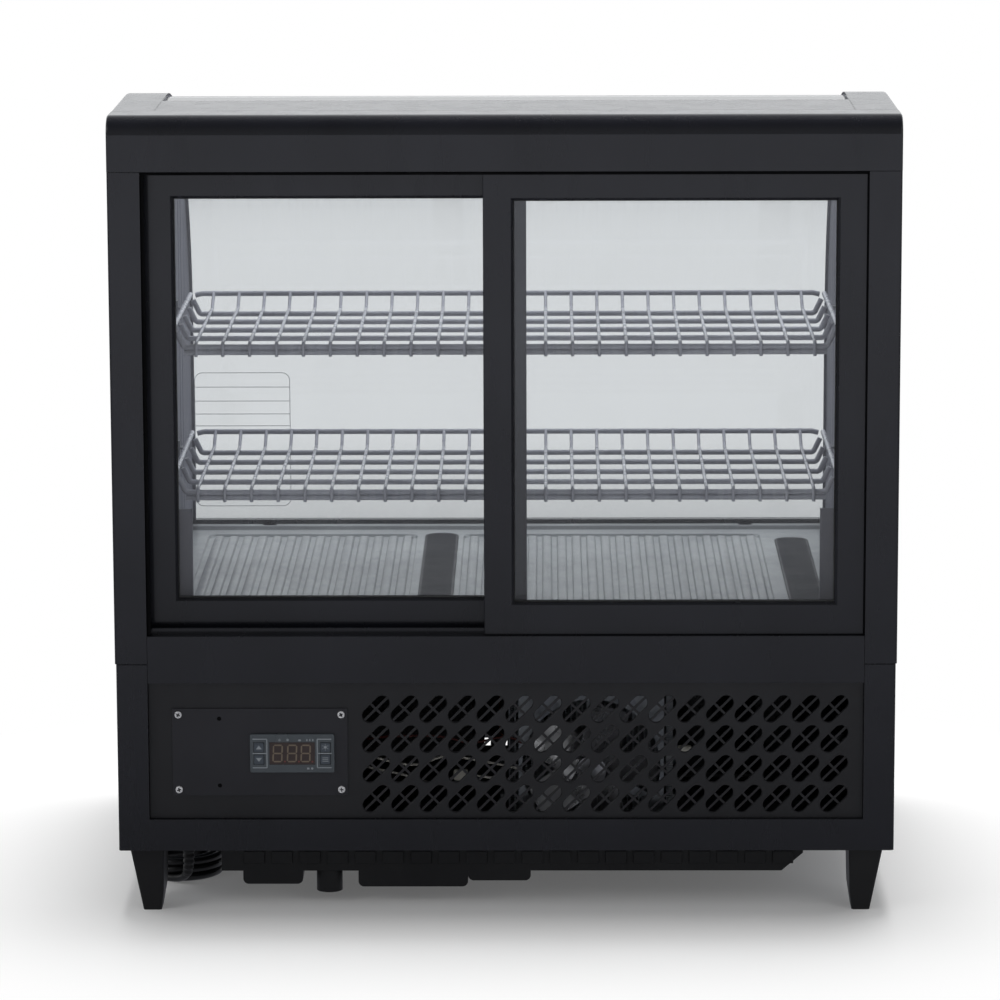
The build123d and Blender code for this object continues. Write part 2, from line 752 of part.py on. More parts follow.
def make_top_panel():
    """Metal top with a flange down at each end."""
    start = frame_depth + gap
    flange = ceiling_height + ceiling_thickness + gap
    panel = block(-inner_half, inner_half, start, glass_top_start, case_height - sheet, case_height)
    panel += block(-inner_half, inner_half, start, start + sheet, flange, case_height - sheet)
    panel += block(-inner_half, inner_half, glass_top_start - sheet, glass_top_start, flange, case_height - sheet)
    return panel


def make_ceiling_liner():
    """Plate under the top panel."""
    z1 = ceiling_height + ceiling_thickness
    return block(-inner_half, inner_half, frame_depth + gap, glass_top_start, ceiling_height, z1)


def make_light_housing():
    """Channel for the light, open below."""
    z0 = ceiling_height - light_height
    z1 = ceiling_height - gap
    housing = block(-light_half_length, light_half_length, light_start_depth, light_end_depth, z0, z1)
    return housing - block(
        -light_half_length + light_wall, light_half_length - light_wall,
        light_start_depth + light_wall, light_end_depth - light_wall, z0 - 1, z1 - light_wall,
    )


def make_light_diffuser():
    """Translucent strip that closes the light's channel."""
    reach = light_half_length - light_wall - 0.2
    z0 = ceiling_height - light_height
    return block(
        -reach, reach, light_start_depth + light_wall + 0.2, light_end_depth - light_wall - 0.2,
        z0, z0 + diffuser_thickness,
    )


def make_front_glass():
    """One bent pane from the metal top down into the customer-side rail."""
    return curved_strip(glass_recess, glass_thickness, 250.0, -inner_half, inner_half)


def make_glass_seals():
    """Strips that the pane lies on along both side walls."""
    inset = glass_recess + glass_thickness + 0.2
    strip = curved_strip(inset, seal_thickness, rail_top + gap, inner_half - seal_width, inner_half)
    return pair(strip)


def make_front_rail():
    """Hollow rail with a groove for the pane, and the fascia below it."""
    z0 = base_top + gap
    groove0 = case_depth - glass_recess - glass_thickness - gap
    groove1 = case_depth - glass_recess + gap
    front = case_depth - gap
    rail = block(-inner_half, inner_half, rail_start_depth, front, z0, rail_top)
    rail -= block(-inner_half - 1, inner_half + 1, groove0, groove1, 249.7, rail_top + 1)
    rail -= block(-inner_half - 1, inner_half + 1, groove1 - 0.5, front + 1, rail_top - 5.0, rail_top + 1)
    rail -= block(
        -inner_half - 1, inner_half + 1, rail_start_depth + frame_wall, front - frame_wall,
        z0 + frame_wall, 249.7 - frame_wall,
    )
    return rail


# ---------------- deck ----------------

def vent_shape(width, length):
    """A long opening with rounded ends, drawn about the origin with its length along Y."""
    return Rot(0, 0, 90) * SlotOverall(length, width)


def vent_place(vent):
    """Middle of a vent on the deck."""
    x, start, margin = vent
    return Pos(x, (start + deck_end_depth - margin) / 2 - half_depth)


def vent_length(vent):
    """Length of a vent along the deck."""
    return deck_end_depth - vent[2] - vent[1]


def make_deck_tray():
    """Deck skin with raised ribs and two vent openings."""
    skin = block(-inner_half, inner_half, frame_depth + gap, deck_end_depth, deck_top - deck_skin, deck_top)
    for first_x, count in rib_fields:
        for number in range(count):
            x = first_x + number * rib_pitch
            skin += block(x, x + rib_width, rib_start_depth, rib_end_depth, deck_top, deck_top + rib_height)
    for vent in vents:
        hole = extrude(vent_place(vent) * vent_shape(vent_width, vent_length(vent)), amount=10)
        skin -= Pos(0, 0, deck_top - 5) * hole
    return skin


def make_deck_vents():
    """Slotted inserts in the deck's two vent openings."""
    inserts = []
    for vent in vents:
        length = vent_length(vent) - 2 * gap
        width = vent_width - 2 * gap
        border = vent_shape(width, length).face().outer_wire()
        slots = []
        count = int((length - width) / vent_slot_pitch)
        for number in range(count):
            y = (number - (count - 1) / 2) * vent_slot_pitch
            slot = Pos(0, y) * Rectangle(width - 2 * vent_border, vent_slot)
            slots.append(slot.face().outer_wire())
        plate = extrude(Face(border, slots), amount=vent_thickness)
        z = deck_top + 0.6 - vent_thickness
        inserts.append(vent_place(vent) * Pos(0, 0, z) * plate)
    return inserts


def make_deck_foam():
    """Insulation under the deck, with an air way below each vent."""
    z1 = deck_top - deck_skin - 1.5
    z0 = z1 - deck_foam_thickness
    foam = block(-inner_half, inner_half, frame_depth + gap, deck_end_depth, z0, z1)
    for number, vent in enumerate(vents):
        hole = extrude(vent_place(vent) * vent_shape(vent_width + 4, vent_length(vent) + 4), amount=60)
        bottom = z0 - 5 if number == 0 else z0 + 10
        foam -= Pos(0, 0, bottom) * hole
    return foam


# ---------------- cold unit ----------------

def fin_pack(x0, x1, d0, d1, z0, z1):
    """Block of upright fins on a spine with hairpin bends at both ends."""
    pack = block(x0, x1, d0, d1, z0, z1)
    count = int((x1 - x0 - fin_thickness) / fin_pitch)
    slots = [
        block(
            x0 + fin_thickness + n * fin_pitch, x0 + n * fin_pitch + fin_pitch,
            d0 - 1, d1 - fin_spine, z0 - 1, z1 + 1,
        )
        for n in range(count)
    ]
    pack = pack - slots
    rows = int((z1 - z0) / 34.0)
    depth = d1 - fin_spine / 2 - tube_radius
    for row in range(rows):
        z = z0 + 17.0 + row * 34.0
        pack += rod_x(x0 - 8.0, x1 + 8.0, depth, z, tube_radius)
    return pack


def make_evaporator_coil():
    """Finned evaporator standing in the tub."""
    return fin_pack(
        evaporator_x0, evaporator_x1, evaporator_start_depth, evaporator_end_depth,
        evaporator_z, evaporator_z + evaporator_height,
    )


def make_condenser():
    """Finned condenser standing on the floor plate."""
    return fin_pack(
        condenser_x0, condenser_x1, condenser_start_depth, condenser_end_depth,
        condenser_z, condenser_z + condenser_height,
    )


def fan_frame(radius):
    """Square plate with an air hole, a motor on three arms and the motor's shaft, axis +Z."""
    side = 2 * (radius + fan_plate_border)
    plate = extrude(Rectangle(side, side) - Circle(radius + 3.0), amount=2.0)
    frame = plate
    for number in range(3):
        arm = Rot(0, 0, 90 + number * 120) * Pos((radius + 5.0) / 2, 0, -1.5) * Box(radius + 5.0, 8.0, 3.0)
        frame += arm
    frame += Pos(0, 0, -fan_motor_length / 2 - 1.0) * Cylinder(fan_motor_radius, fan_motor_length)
    return frame + Pos(0, 0, 8.5) * Cylinder(fan_shaft_radius, 19.0)


def fan_rotor(radius):
    """Hub with pitched blades, axis +Z, in front of the frame's plate."""
    blades = Pos(0, 0, rotor_lift + hub_length / 2) * Cylinder(hub_radius, hub_length)
    reach = radius - hub_radius + 3.0
    for number in range(fan_blade_count):
        turn = Rot(0, 0, number * 360 / fan_blade_count)
        blade = Box(reach, fan_blade_chord * radius / 58.0, fan_blade_thickness)
        place = Pos(hub_radius - 3.0 + reach / 2, 0, rotor_lift + hub_length / 2)
        blades += turn * place * Rot(fan_blade_pitch, 0, 0) * blade
    rotor = blades & Pos(0, 0, 10) * Cylinder(radius, 40)
    return rotor - Pos(0, 0, 5) * Cylinder(fan_shaft_radius + shaft_clearance, 40)


def condenser_fan_place():
    """Moves a fan from +Z to face the service side."""
    return Pos(condenser_fan_x, condenser_fan_depth - half_depth, condenser_fan_z) * Rot(90, 0, 0)


def evaporator_fan_place():
    """Moves a fan from +Z to blow along +X."""
    return Pos(evaporator_fan_x, evaporator_fan_depth - half_depth, evaporator_fan_z) * Rot(0, 90, 0)


def make_evaporator_tub():
    """Insulated tub that hangs below the deck round the evaporator."""
    z1 = deck_top - deck_skin - 1.5 - deck_foam_thickness - gap
    tub = block(tub_x0, tub_x1, tub_start_depth, tub_end_depth, tub_bottom, z1)
    return tub - block(
        tub_x0 + tub_wall, tub_x1 - tub_wall, tub_start_depth + tub_wall, tub_end_depth - tub_wall,
        tub_bottom + tub_wall, z1 + 1,
    )


def make_compressor():
    """Welded can with a domed top, a mounting plate and a terminal cover."""
    z0 = pan_top + rubber_height
    plate = block(
        compressor_x - compressor_foot_span / 2, compressor_x + compressor_foot_span / 2,
        compressor_depth - compressor_foot_span / 2, compressor_depth + compressor_foot_span / 2,
        z0, z0 + compressor_foot_thickness,
    )
    plate = fillet(plate.edges().filter_by(Axis.Z), 14.0)
    top = z0 + compressor_foot_thickness + compressor_height
    can = rod_z(compressor_x, compressor_depth, z0 + compressor_foot_thickness, top, compressor_radius)
    can = fillet(can.edges().sort_by(Axis.Z)[-1], 34.0)
    can += rod_z(compressor_x, compressor_depth, z0 + 60.0, z0 + 64.0, compressor_radius + 3.0)
    cover = block(
        compressor_x + compressor_radius - 14.0, compressor_x + compressor_radius + 22.0,
        compressor_depth - 24.0, compressor_depth + 24.0, z0 + 20.0, z0 + 84.0,
    )
    return plate + can + cover


def make_compressor_mounts():
    """Rubber bushes between the floor plate and the compressor."""
    reach = compressor_foot_span / 2 - 14.0
    return [
        rod_z(compressor_x + sx * reach, compressor_depth + sy * reach, pan_top, pan_top + rubber_height, rubber_radius)
        for sx in (-1, 1)
        for sy in (-1, 1)
    ]


def pipe(points, radius):
    """Bent pipe through (x, depth, z) points."""
    path = FilletPolyline(*[(x, depth - half_depth, z) for x, depth, z in points], radius=3.5 * radius)
    return sweep(Plane(path @ 0, z_dir=path % 0) * Circle(radius), path=path)


def drier_end():
    """Depth range of the filter drier."""
    start = condenser_end_depth + 36.0
    return start, start + drier_length


def make_filter_drier():
    """Copper filter drier with tapered ends, lying along Y."""
    start, end = drier_end()
    drier = rod_y(30.0, start, end, 90.0, drier_radius)
    return chamfer(drier.edges().filter_by(GeomType.CIRCLE), 5.0)


def make_refrigerant_pipes():
    """Discharge, liquid, capillary and suction pipes."""
    back = condenser_end_depth + gap
    start, end = drier_end()
    wall = tub_x1 + gap
    can_x = compressor_x - compressor_radius - gap
    return [
        pipe([(can_x, 290.0, 118.0), (85.0, 290.0, 118.0), (85.0, back, 118.0)], 3.0),
        rod_y(30.0, back, start - gap, 90.0, 3.0),
        pipe([(30.0, end + gap, 90.0), (30.0, 300.0, 90.0), (-8.0, 300.0, 90.0), (-8.0, 300.0, 150.0),
              (wall, 300.0, 150.0)], 1.2),
        pipe([(wall, 345.0, 170.0), (20.0, 345.0, 170.0), (60.0, 310.0, 170.0), (can_x - 1.5, 305.0, 150.0)], 4.0),
    ]


# ---------------- power cord ----------------

def cord_tube(name, points):
    """Round cord along straight runs joined by arcs; prints the arcs' radii and checks the volume."""
    vectors = [Vector(*point) for point in points]
    radii = []
    for before, here, after in zip(vectors, vectors[1:], vectors[2:]):
        turn = (here - before).get_angle(after - here)
        shorter = min((here - before).length, (after - here).length)
        radii.append(0.45 * shorter / tan(radians(turn / 2)))
    path = FilletPolyline(*points, radius=radii)
    tube = sweep(Plane(path @ 0, z_dir=path % 0) * Circle(cord_radius), path=path)
    expected = pi * cord_radius**2 * path.length
    print(name, "length", round(path.length, 1), "radii", [round(r) for r in radii])
    print(name, "volume / expected", round(tube.volume / expected, 4))
    return tube


def make_power_cord():
    """The two stretches of the cord that aren't coiled."""
    return [cord_tube("lead", lead_route), cord_tube("tail", tail_route)]


def make_cord_coil():
    """Outer shape of the wound cord: a flat ring of two turns side by side and three high."""
    outer = coil_turn_radius + cord_radius
    inner = coil_turn_radius - 3 * cord_radius
    height = 2 * cord_radius * coil_layers
    ring = extrude(Circle(outer) - Circle(inner), amount=height)
    ring = fillet(ring.edges().filter_by(GeomType.CIRCLE), cord_radius * 0.9)
    return Pos(coil_x, coil_y, 0) * ring


def make_cable_gland():
    """Flanged gland through the floor plate with a tapered strain relief below."""
    place = Pos(gland_x, gland_y, 0)
    relief = Pos(0, 0, (gland_end_z + 53.0) / 2) * Cone(4.8, 6.8, 53.0 - gland_end_z)
    flange = Pos(0, 0, (53.0 + foot_height) / 2) * Cylinder(10.0, foot_height - 53.0)
    neck = Pos(0, 0, (foot_height + pan_top) / 2) * Cylinder(7.8, pan_thickness)
    nut = Pos(0, 0, pan_top) * extrude(RegularPolygon(11.0, 6), amount=5.0)
    return place * (relief + flange + neck + nut)


def make_plug():
    """Moulded plug body lying on the floor."""
    y0 = plug_y + 0.2
    z = plug_height / 2
    body = Pos(plug_x, y0 + 12.0 + (plug_length - 12.0) / 2, z) * Box(plug_width, plug_length - 12.0, plug_height)
    body = fillet(body.edges().filter_by(Axis.Y), 6.0)
    neck = Pos(plug_x, y0 + 7.0, z) * Rot(-90, 0, 0) * Cone(5.0, 8.5, 14.0)
    return body + neck


def make_plug_pins():
    """Two flat pins and one round earth pin."""
    y0 = plug_y + 0.2 + plug_length
    z = plug_height / 2
    pins = [Pos(plug_x + sx * 6.35, y0 + 8.0, z - 2.0) * Box(1.5, 16.0, 6.3) for sx in (-1, 1)]
    return pins + [Pos(plug_x, y0 + 9.0, z + 5.5) * Rot(90, 0, 0) * Cylinder(2.4, 18.0)]


# ---------------- doors ----------------

def make_door_frame(name):
    """Four-sided frame with a glazing groove, a groove below for the track rib, a tongue above."""
    x0 = door_starts[name]
    x1 = x0 + door_width
    d0 = door_depths[name]
    d1 = d0 + door_thickness
    middle = door_middle(name)
    frame = block(x0, x1, d0, d1, door_z0, door_z1)
    frame = fillet(frame.edges().filter_by(Axis.Z), 1.2)
    frame -= block(x0 + stile, x1 - stile, d0 - 1, d1 + 1, door_z0 + bottom_rail, door_z1 - top_rail)
    inner_edges = frame.faces().sort_by(Axis.Y)[0].inner_wires()[0].edges()
    frame = chamfer(inner_edges, 2.0)
    half_pane = pane_thickness / 2 + gap
    bite = glazing_bite + gap
    frame -= block(
        x0 + stile - bite, x1 - stile + bite, middle - half_pane, middle + half_pane,
        door_z0 + bottom_rail - bite, door_z1 - top_rail + bite,
    )
    groove_top = door_opening_bottom + track_rib_height + gap + glide_height
    frame -= block(x0 - 1, x1 + 1, middle - door_groove_width / 2, middle + door_groove_width / 2, door_z0 - 1, groove_top)
    frame += block(
        x0 + 2, x1 - 2, middle - tongue_thickness / 2, middle + tongue_thickness / 2,
        door_z1, door_z1 + tongue_height,
    )
    return frame


def make_door_glass(name):
    """Pane held in the frame's groove."""
    x0 = door_starts[name]
    middle = door_middle(name)
    return block(
        x0 + stile - glazing_bite, x0 + door_width - stile + glazing_bite,
        middle - pane_thickness / 2, middle + pane_thickness / 2,
        door_z0 + bottom_rail - glazing_bite, door_z1 - top_rail + glazing_bite,
    )


def make_door_glides(name):
    """Two low-friction pads above the track rib."""
    x0 = door_starts[name]
    middle = door_middle(name)
    z0 = door_opening_bottom + track_rib_height + gap
    starts = (x0 + 12.0, x0 + door_width - 12.0 - glide_length)
    return [
        block(x, x + glide_length, middle - glide_width / 2, middle + glide_width / 2, z0, z0 + glide_height)
        for x in starts
    ]


# ---------------- shelves ----------------

def bent_bar(points, radius, bend):
    """Round bar through (x, depth, z) points with bends of one radius."""
    path = FilletPolyline(*[(x, depth - half_depth, z) for x, depth, z in points], radius=bend)
    return sweep(Plane(path @ 0, z_dir=path % 0) * Circle(radius), path=path)


def make_shelf(height):
    """Wires of one shelf: cross rods bent up at both ends, depth wires on top with a lifted far lip."""
    wire_z = height + shelf_rod_radius + shelf_wire_radius
    step = (shelf_bend_depth - 8.0 - shelf_near_depth) / (shelf_rod_count - 1)
    rods = [(shelf_near_depth + number * step, height) for number in range(shelf_rod_count)]
    rods.append((shelf_far_depth - 1.0, height + shelf_lip + 2.5))
    side_z = height + shelf_end_rise
    end_x = shelf_end_x - 2 * shelf_rod_radius
    bars = []
    for depth, z in rods:
        bars.append(bent_bar(
            [(-end_x, depth, side_z), (-shelf_bend_x, depth, z), (shelf_bend_x, depth, z), (end_x, depth, side_z)],
            shelf_rod_radius, 4.0,
        ))
    lower_z = height - 2 * shelf_rod_radius
    bars.append(rod_x(-shelf_bend_x, shelf_bend_x, shelf_near_depth, lower_z, shelf_rod_radius))
    bars += pair(rod_y(shelf_end_x, shelf_near_depth - 3.0, shelf_far_depth + 2.0, side_z, shelf_rod_radius))
    half_row = (shelf_wire_count - 1) / 2
    near = shelf_near_depth - shelf_rod_radius - shelf_wire_radius
    for number in range(shelf_wire_count):
        x = (number - half_row) * shelf_wire_pitch
        bars.append(bent_bar(
            [(x, near, height - shelf_tip_drop), (x, near, wire_z), (x, shelf_bend_depth, wire_z),
             (x, shelf_far_depth, wire_z + shelf_lip)],
            shelf_wire_radius, 3.0,
        ))
    return bars


nodes = {
    "base_wrap": make_base_wrap(),
    "base_pan": make_base_pan(),
    "feet": make_feet(),
    "foot_bolts": make_foot_bolts(),
    "under_tray": make_under_tray(),
    "service_panel": make_service_panel(),
    "control_plate": make_control_plate(),
    "control_plate_screws": make_plate_screws(),
    "controller_body": make_controller_body(),
    "controller_window": make_controller_window(),
    "rear_sill": make_rear_sill(),
    "lower_track": make_lower_track(),
    "upper_track": make_upper_track(),
    "rear_posts": make_rear_posts(),
    "rear_header": make_rear_header(),
    "side_shell_right": make_side_shell(),
    "side_shell_left": mirror(make_side_shell(), Plane.YZ),
    "side_foam": pair(wall_filling(liner_x + 2.2, half_width - sheet - 0.2)),
    "side_liner_right": make_side_liner(),
    "side_liner_left": mirror(make_side_liner(), Plane.YZ),
    "shelf_standards": make_shelf_standards(),
    "shelf_clips": make_shelf_clips(),
    "top_panel": make_top_panel(),
    "ceiling_liner": make_ceiling_liner(),
    "light_housing": make_light_housing(),
    "light_diffuser": make_light_diffuser(),
    "front_glass": make_front_glass(),
    "glass_seals": make_glass_seals(),
    "front_rail": make_front_rail(),
    "deck_tray": make_deck_tray(),
    "deck_vents": make_deck_vents(),
    "deck_foam": make_deck_foam(),
    "evaporator_tub": make_evaporator_tub(),
    "evaporator_coil": make_evaporator_coil(),
    "evaporator_fan_frame": evaporator_fan_place() * fan_frame(evaporator_fan_radius),
    "evaporator_fan": evaporator_fan_place() * fan_rotor(evaporator_fan_radius),
    "compressor": make_compressor(),
    "compressor_mounts": make_compressor_mounts(),
    "condenser": make_condenser(),
    "condenser_fan_frame": condenser_fan_place() * fan_frame(condenser_fan_radius),
    "condenser_fan": condenser_fan_place() * fan_rotor(condenser_fan_radius),
    "filter_drier": make_filter_drier(),
    "refrigerant_pipes": make_refrigerant_pipes(),
    "cable_gland": make_cable_gland(),
    "power_cord": make_power_cord(),
    "power_cord_coil": make_cord_coil(),
    "plug": make_plug(),
    "plug_pins": make_plug_pins(),
}
for key_name in key_places:
    nodes[key_name] = make_key(key_name)
for door_name in door_depths:
    nodes[door_name + "_frame"] = make_door_frame(door_name)
    nodes[door_name + "_glass"] = make_door_glass(door_name)
    nodes[door_name + "_glides"] = make_door_glides(door_name)
for shelf_name, shelf_height in shelf_heights.items():
    nodes[shelf_name] = make_shelf(shelf_height)

os.makedirs("parts", exist_ok=True)
for node_name, shape in nodes.items():
    pieces = shape if isinstance(shape, list) else [shape]
    solids = [solid for piece in pieces for solid in piece.solids()]
    export_step(Compound(solids), "parts/" + node_name + ".step")
print(len(nodes), "nodes written")
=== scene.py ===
import bpy
import math
import numpy as np
from mathutils import Matrix, Vector


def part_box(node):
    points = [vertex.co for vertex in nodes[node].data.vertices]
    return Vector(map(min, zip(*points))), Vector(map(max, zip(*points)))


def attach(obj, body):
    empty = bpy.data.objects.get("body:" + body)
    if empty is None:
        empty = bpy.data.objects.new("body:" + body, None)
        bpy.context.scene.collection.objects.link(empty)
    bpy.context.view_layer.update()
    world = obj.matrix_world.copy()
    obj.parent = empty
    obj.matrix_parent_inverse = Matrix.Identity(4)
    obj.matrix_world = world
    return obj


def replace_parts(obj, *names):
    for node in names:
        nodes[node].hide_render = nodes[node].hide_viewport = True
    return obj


# Countertop display case with two sliding doors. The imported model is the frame, and this file gives it
# its finishes and the small pieces that the frame leaves out.

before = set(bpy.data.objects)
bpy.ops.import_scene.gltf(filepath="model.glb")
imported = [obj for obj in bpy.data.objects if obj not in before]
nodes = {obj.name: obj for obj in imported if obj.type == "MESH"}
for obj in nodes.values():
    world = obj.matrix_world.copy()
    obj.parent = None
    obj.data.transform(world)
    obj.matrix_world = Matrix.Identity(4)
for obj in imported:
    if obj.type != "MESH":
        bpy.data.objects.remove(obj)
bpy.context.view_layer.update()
slotNames = {name: [holder.material.name for holder in part.material_slots] for name, part in nodes.items()}
for imported in bpy.data.materials:
    imported.name = imported.name + "Frame"
print("frame loaded:", len(nodes), "nodes")


cameraView = {
    "place": (0.0354, -4.3823, 1.1277),
    "lookDown": 10.346,      # degrees
    "turn": 0.549,
    "roll": -0.174,
    "lens": 175.65,
}


def addCamera(view):
    camera = bpy.data.objects.new("camera", bpy.data.cameras.new("camera"))
    bpy.context.scene.collection.objects.link(camera)
    camera.data.lens = view["lens"]
    camera.data.sensor_width = 36.0
    camera.data.clip_start, camera.data.clip_end = 0.1, 60.0
    aim = Matrix.Rotation(math.radians(view["turn"]), 4, "Z")
    tip = Matrix.Rotation(math.radians(90 - view["lookDown"]), 4, "X")
    lean = Matrix.Rotation(math.radians(view["roll"]), 4, "Z")
    camera.matrix_world = Matrix.Translation(view["place"]) @ aim @ tip @ lean
    bpy.context.scene.camera = camera


addCamera(cameraView)


def screenColour(red, green, blue):
    # screen values 0 to 255, to the linear light that a shader takes
    values = np.array([red, green, blue]) / 255
    linear = np.where(values <= 0.04045, values / 12.92, ((values + 0.055) / 1.055) ** 2.4)
    return (*linear.tolist(), 1.0)


def makeMaterial(name, sockets):
    material = bpy.data.materials.new(name)
    material.use_nodes = True
    shader = material.node_tree.nodes["Principled BSDF"]
    for socket, value in sockets.items():
        shader.inputs[socket].default_value = value
    return material, material.node_tree, shader


def addNode(tree, kind, inputs=None, **settings):
    made = tree.nodes.new(kind)
    for setting, value in settings.items():
        setattr(made, setting, value)
    for socket, value in (inputs or {}).items():
        if isinstance(value, bpy.types.NodeSocket):
            tree.links.new(value, made.inputs[socket])
        else:
            made.inputs[socket].default_value = value
    return made


def placeOn(tree, stretch=(1, 1, 1), turn=(0, 0, 0), shift=(0, 0, 0)):
    coords = addNode(tree, "ShaderNodeTexCoord")
    angles = [math.radians(angle) for angle in turn]
    inputs = {"Vector": coords.outputs["Object"], "Location": shift, "Rotation": angles, "Scale": stretch}
    return addNode(tree, "ShaderNodeMapping", inputs).outputs["Vector"]


def noiseOf(tree, vector, scale, detail=2.0, roughness=0.5):
    inputs = {"Vector": vector, "Scale": scale, "Detail": detail, "Roughness": roughness}
    return addNode(tree, "ShaderNodeTexNoise", inputs).outputs["Fac"]


def spread(tree, value, low, high, toLow, toHigh):
    inputs = {"Value": value, "From Min": low, "From Max": high, "To Min": toLow, "To Max": toHigh}
    return addNode(tree, "ShaderNodeMapRange", inputs, clamp=True).outputs["Result"]


def blendColour(tree, share, first, second):
    mixer = addNode(tree, "ShaderNodeMix", data_type="RGBA")
    for index, value in ((0, share), (6, first), (7, second)):
        if isinstance(value, bpy.types.NodeSocket):
            tree.links.new(value, mixer.inputs[index])
        else:
            mixer.inputs[index].default_value = value
    return mixer.outputs[2]


def sums(tree, operation, *values):
    made = addNode(tree, "ShaderNodeMath", operation=operation)
    for index, value in enumerate(values):
        if isinstance(value, bpy.types.NodeSocket):
            tree.links.new(value, made.inputs[index])
        else:
            made.inputs[index].default_value = value
    return made.outputs[0]


def vectors(tree, operation, *values):
    made = addNode(tree, "ShaderNodeVectorMath", dict(enumerate(values)), operation=operation)
    return made.outputs["Vector"]


def bumpFrom(tree, height, depth, normal=None):
    inputs = {"Height": height, "Distance": depth, "Strength": 1.0}
    if normal is not None:
        inputs["Normal"] = normal
    return addNode(tree, "ShaderNodeBump", inputs).outputs["Normal"]


def coatedFinish(name, look):
    # two close tones mixed by a slow noise, dust where a face looks up, a painted highlight that makes edges
    # a little paler, gloss that wanders with smears, and a fine grain or lengthwise brushing as bump
    sockets = {"Metallic": look.get("metal", 0.0), "Specular IOR Level": look.get("shine", 0.5)}
    if "coat" in look:
        sockets["Coat Weight"] = look["coat"]
        sockets["Coat Roughness"] = 0.08
    if "sheen" in look:
        sockets["Sheen Weight"] = look["sheen"]
    material, tree, shader = makeMaterial(name, sockets)
    plain = placeOn(tree)
    mottle = noiseOf(tree, plain, look.get("mottle", 9.0), 4.0, 0.6)
    colour = blendColour(tree, spread(tree, mottle, 0.3, 0.7, 0.0, 1.0), look["dark"], look["light"])
    streaks = noiseOf(tree, placeOn(tree, (3.0, 3.0, 0.6)), 14.0, 3.0, 0.65)
    smear = spread(tree, streaks, 0.42, 0.75, 0.0, 1.0)
    geometry = addNode(tree, "ShaderNodeNewGeometry")
    upright = addNode(tree, "ShaderNodeSeparateXYZ", {"Vector": geometry.outputs["Normal"]}).outputs["Z"]
    specks = spread(tree, noiseOf(tree, plain, 900.0, 2.0, 0.7), 0.55, 0.75, 0.25, 1.0)
    dust = sums(tree, "MULTIPLY", spread(tree, upright, 0.5, 1.0, 0.0, look["dust"]), specks)
    colour = blendColour(tree, dust, colour, screenColour(150, 148, 144))
    normal = None
    if "edge" in look:
        bevel = addNode(tree, "ShaderNodeBevel", {"Radius": look["edge"]}, samples=3)
        normal = bevel.outputs["Normal"]
        facing = addNode(
            tree, "ShaderNodeVectorMath", operation="DOT_PRODUCT",
            inputs={0: normal, 1: geometry.outputs["Normal"]},
        ).outputs["Value"]
        # painted highlight: where the rounded normal turns away from the face's own, the edge is blended
        # towards a paler tone
        rub = sums(tree, "MULTIPLY", spread(tree, facing, 0.99, 0.8, 0.0, 0.25), mottle)
        colour = blendColour(tree, rub, colour, look.get("rubTone", screenColour(96, 96, 98)))
    rough = look["rough"]
    gloss = spread(tree, smear, 0.0, 1.0, rough[0], rough[1])
    tree.links.new(colour, shader.inputs["Base Color"])
    tree.links.new(gloss, shader.inputs["Roughness"])
    if "brush" in look:
        lines = noiseOf(tree, placeOn(tree, look["brush"]), 1.0, 3.0, 0.7)
        normal = bumpFrom(tree, lines, look["brushDepth"], normal)
    grain = noiseOf(tree, plain, look["grain"], 3.0, 0.6)
    normal = bumpFrom(tree, grain, look["grainDepth"], normal)
    tree.links.new(normal, shader.inputs["Normal"])
    return material


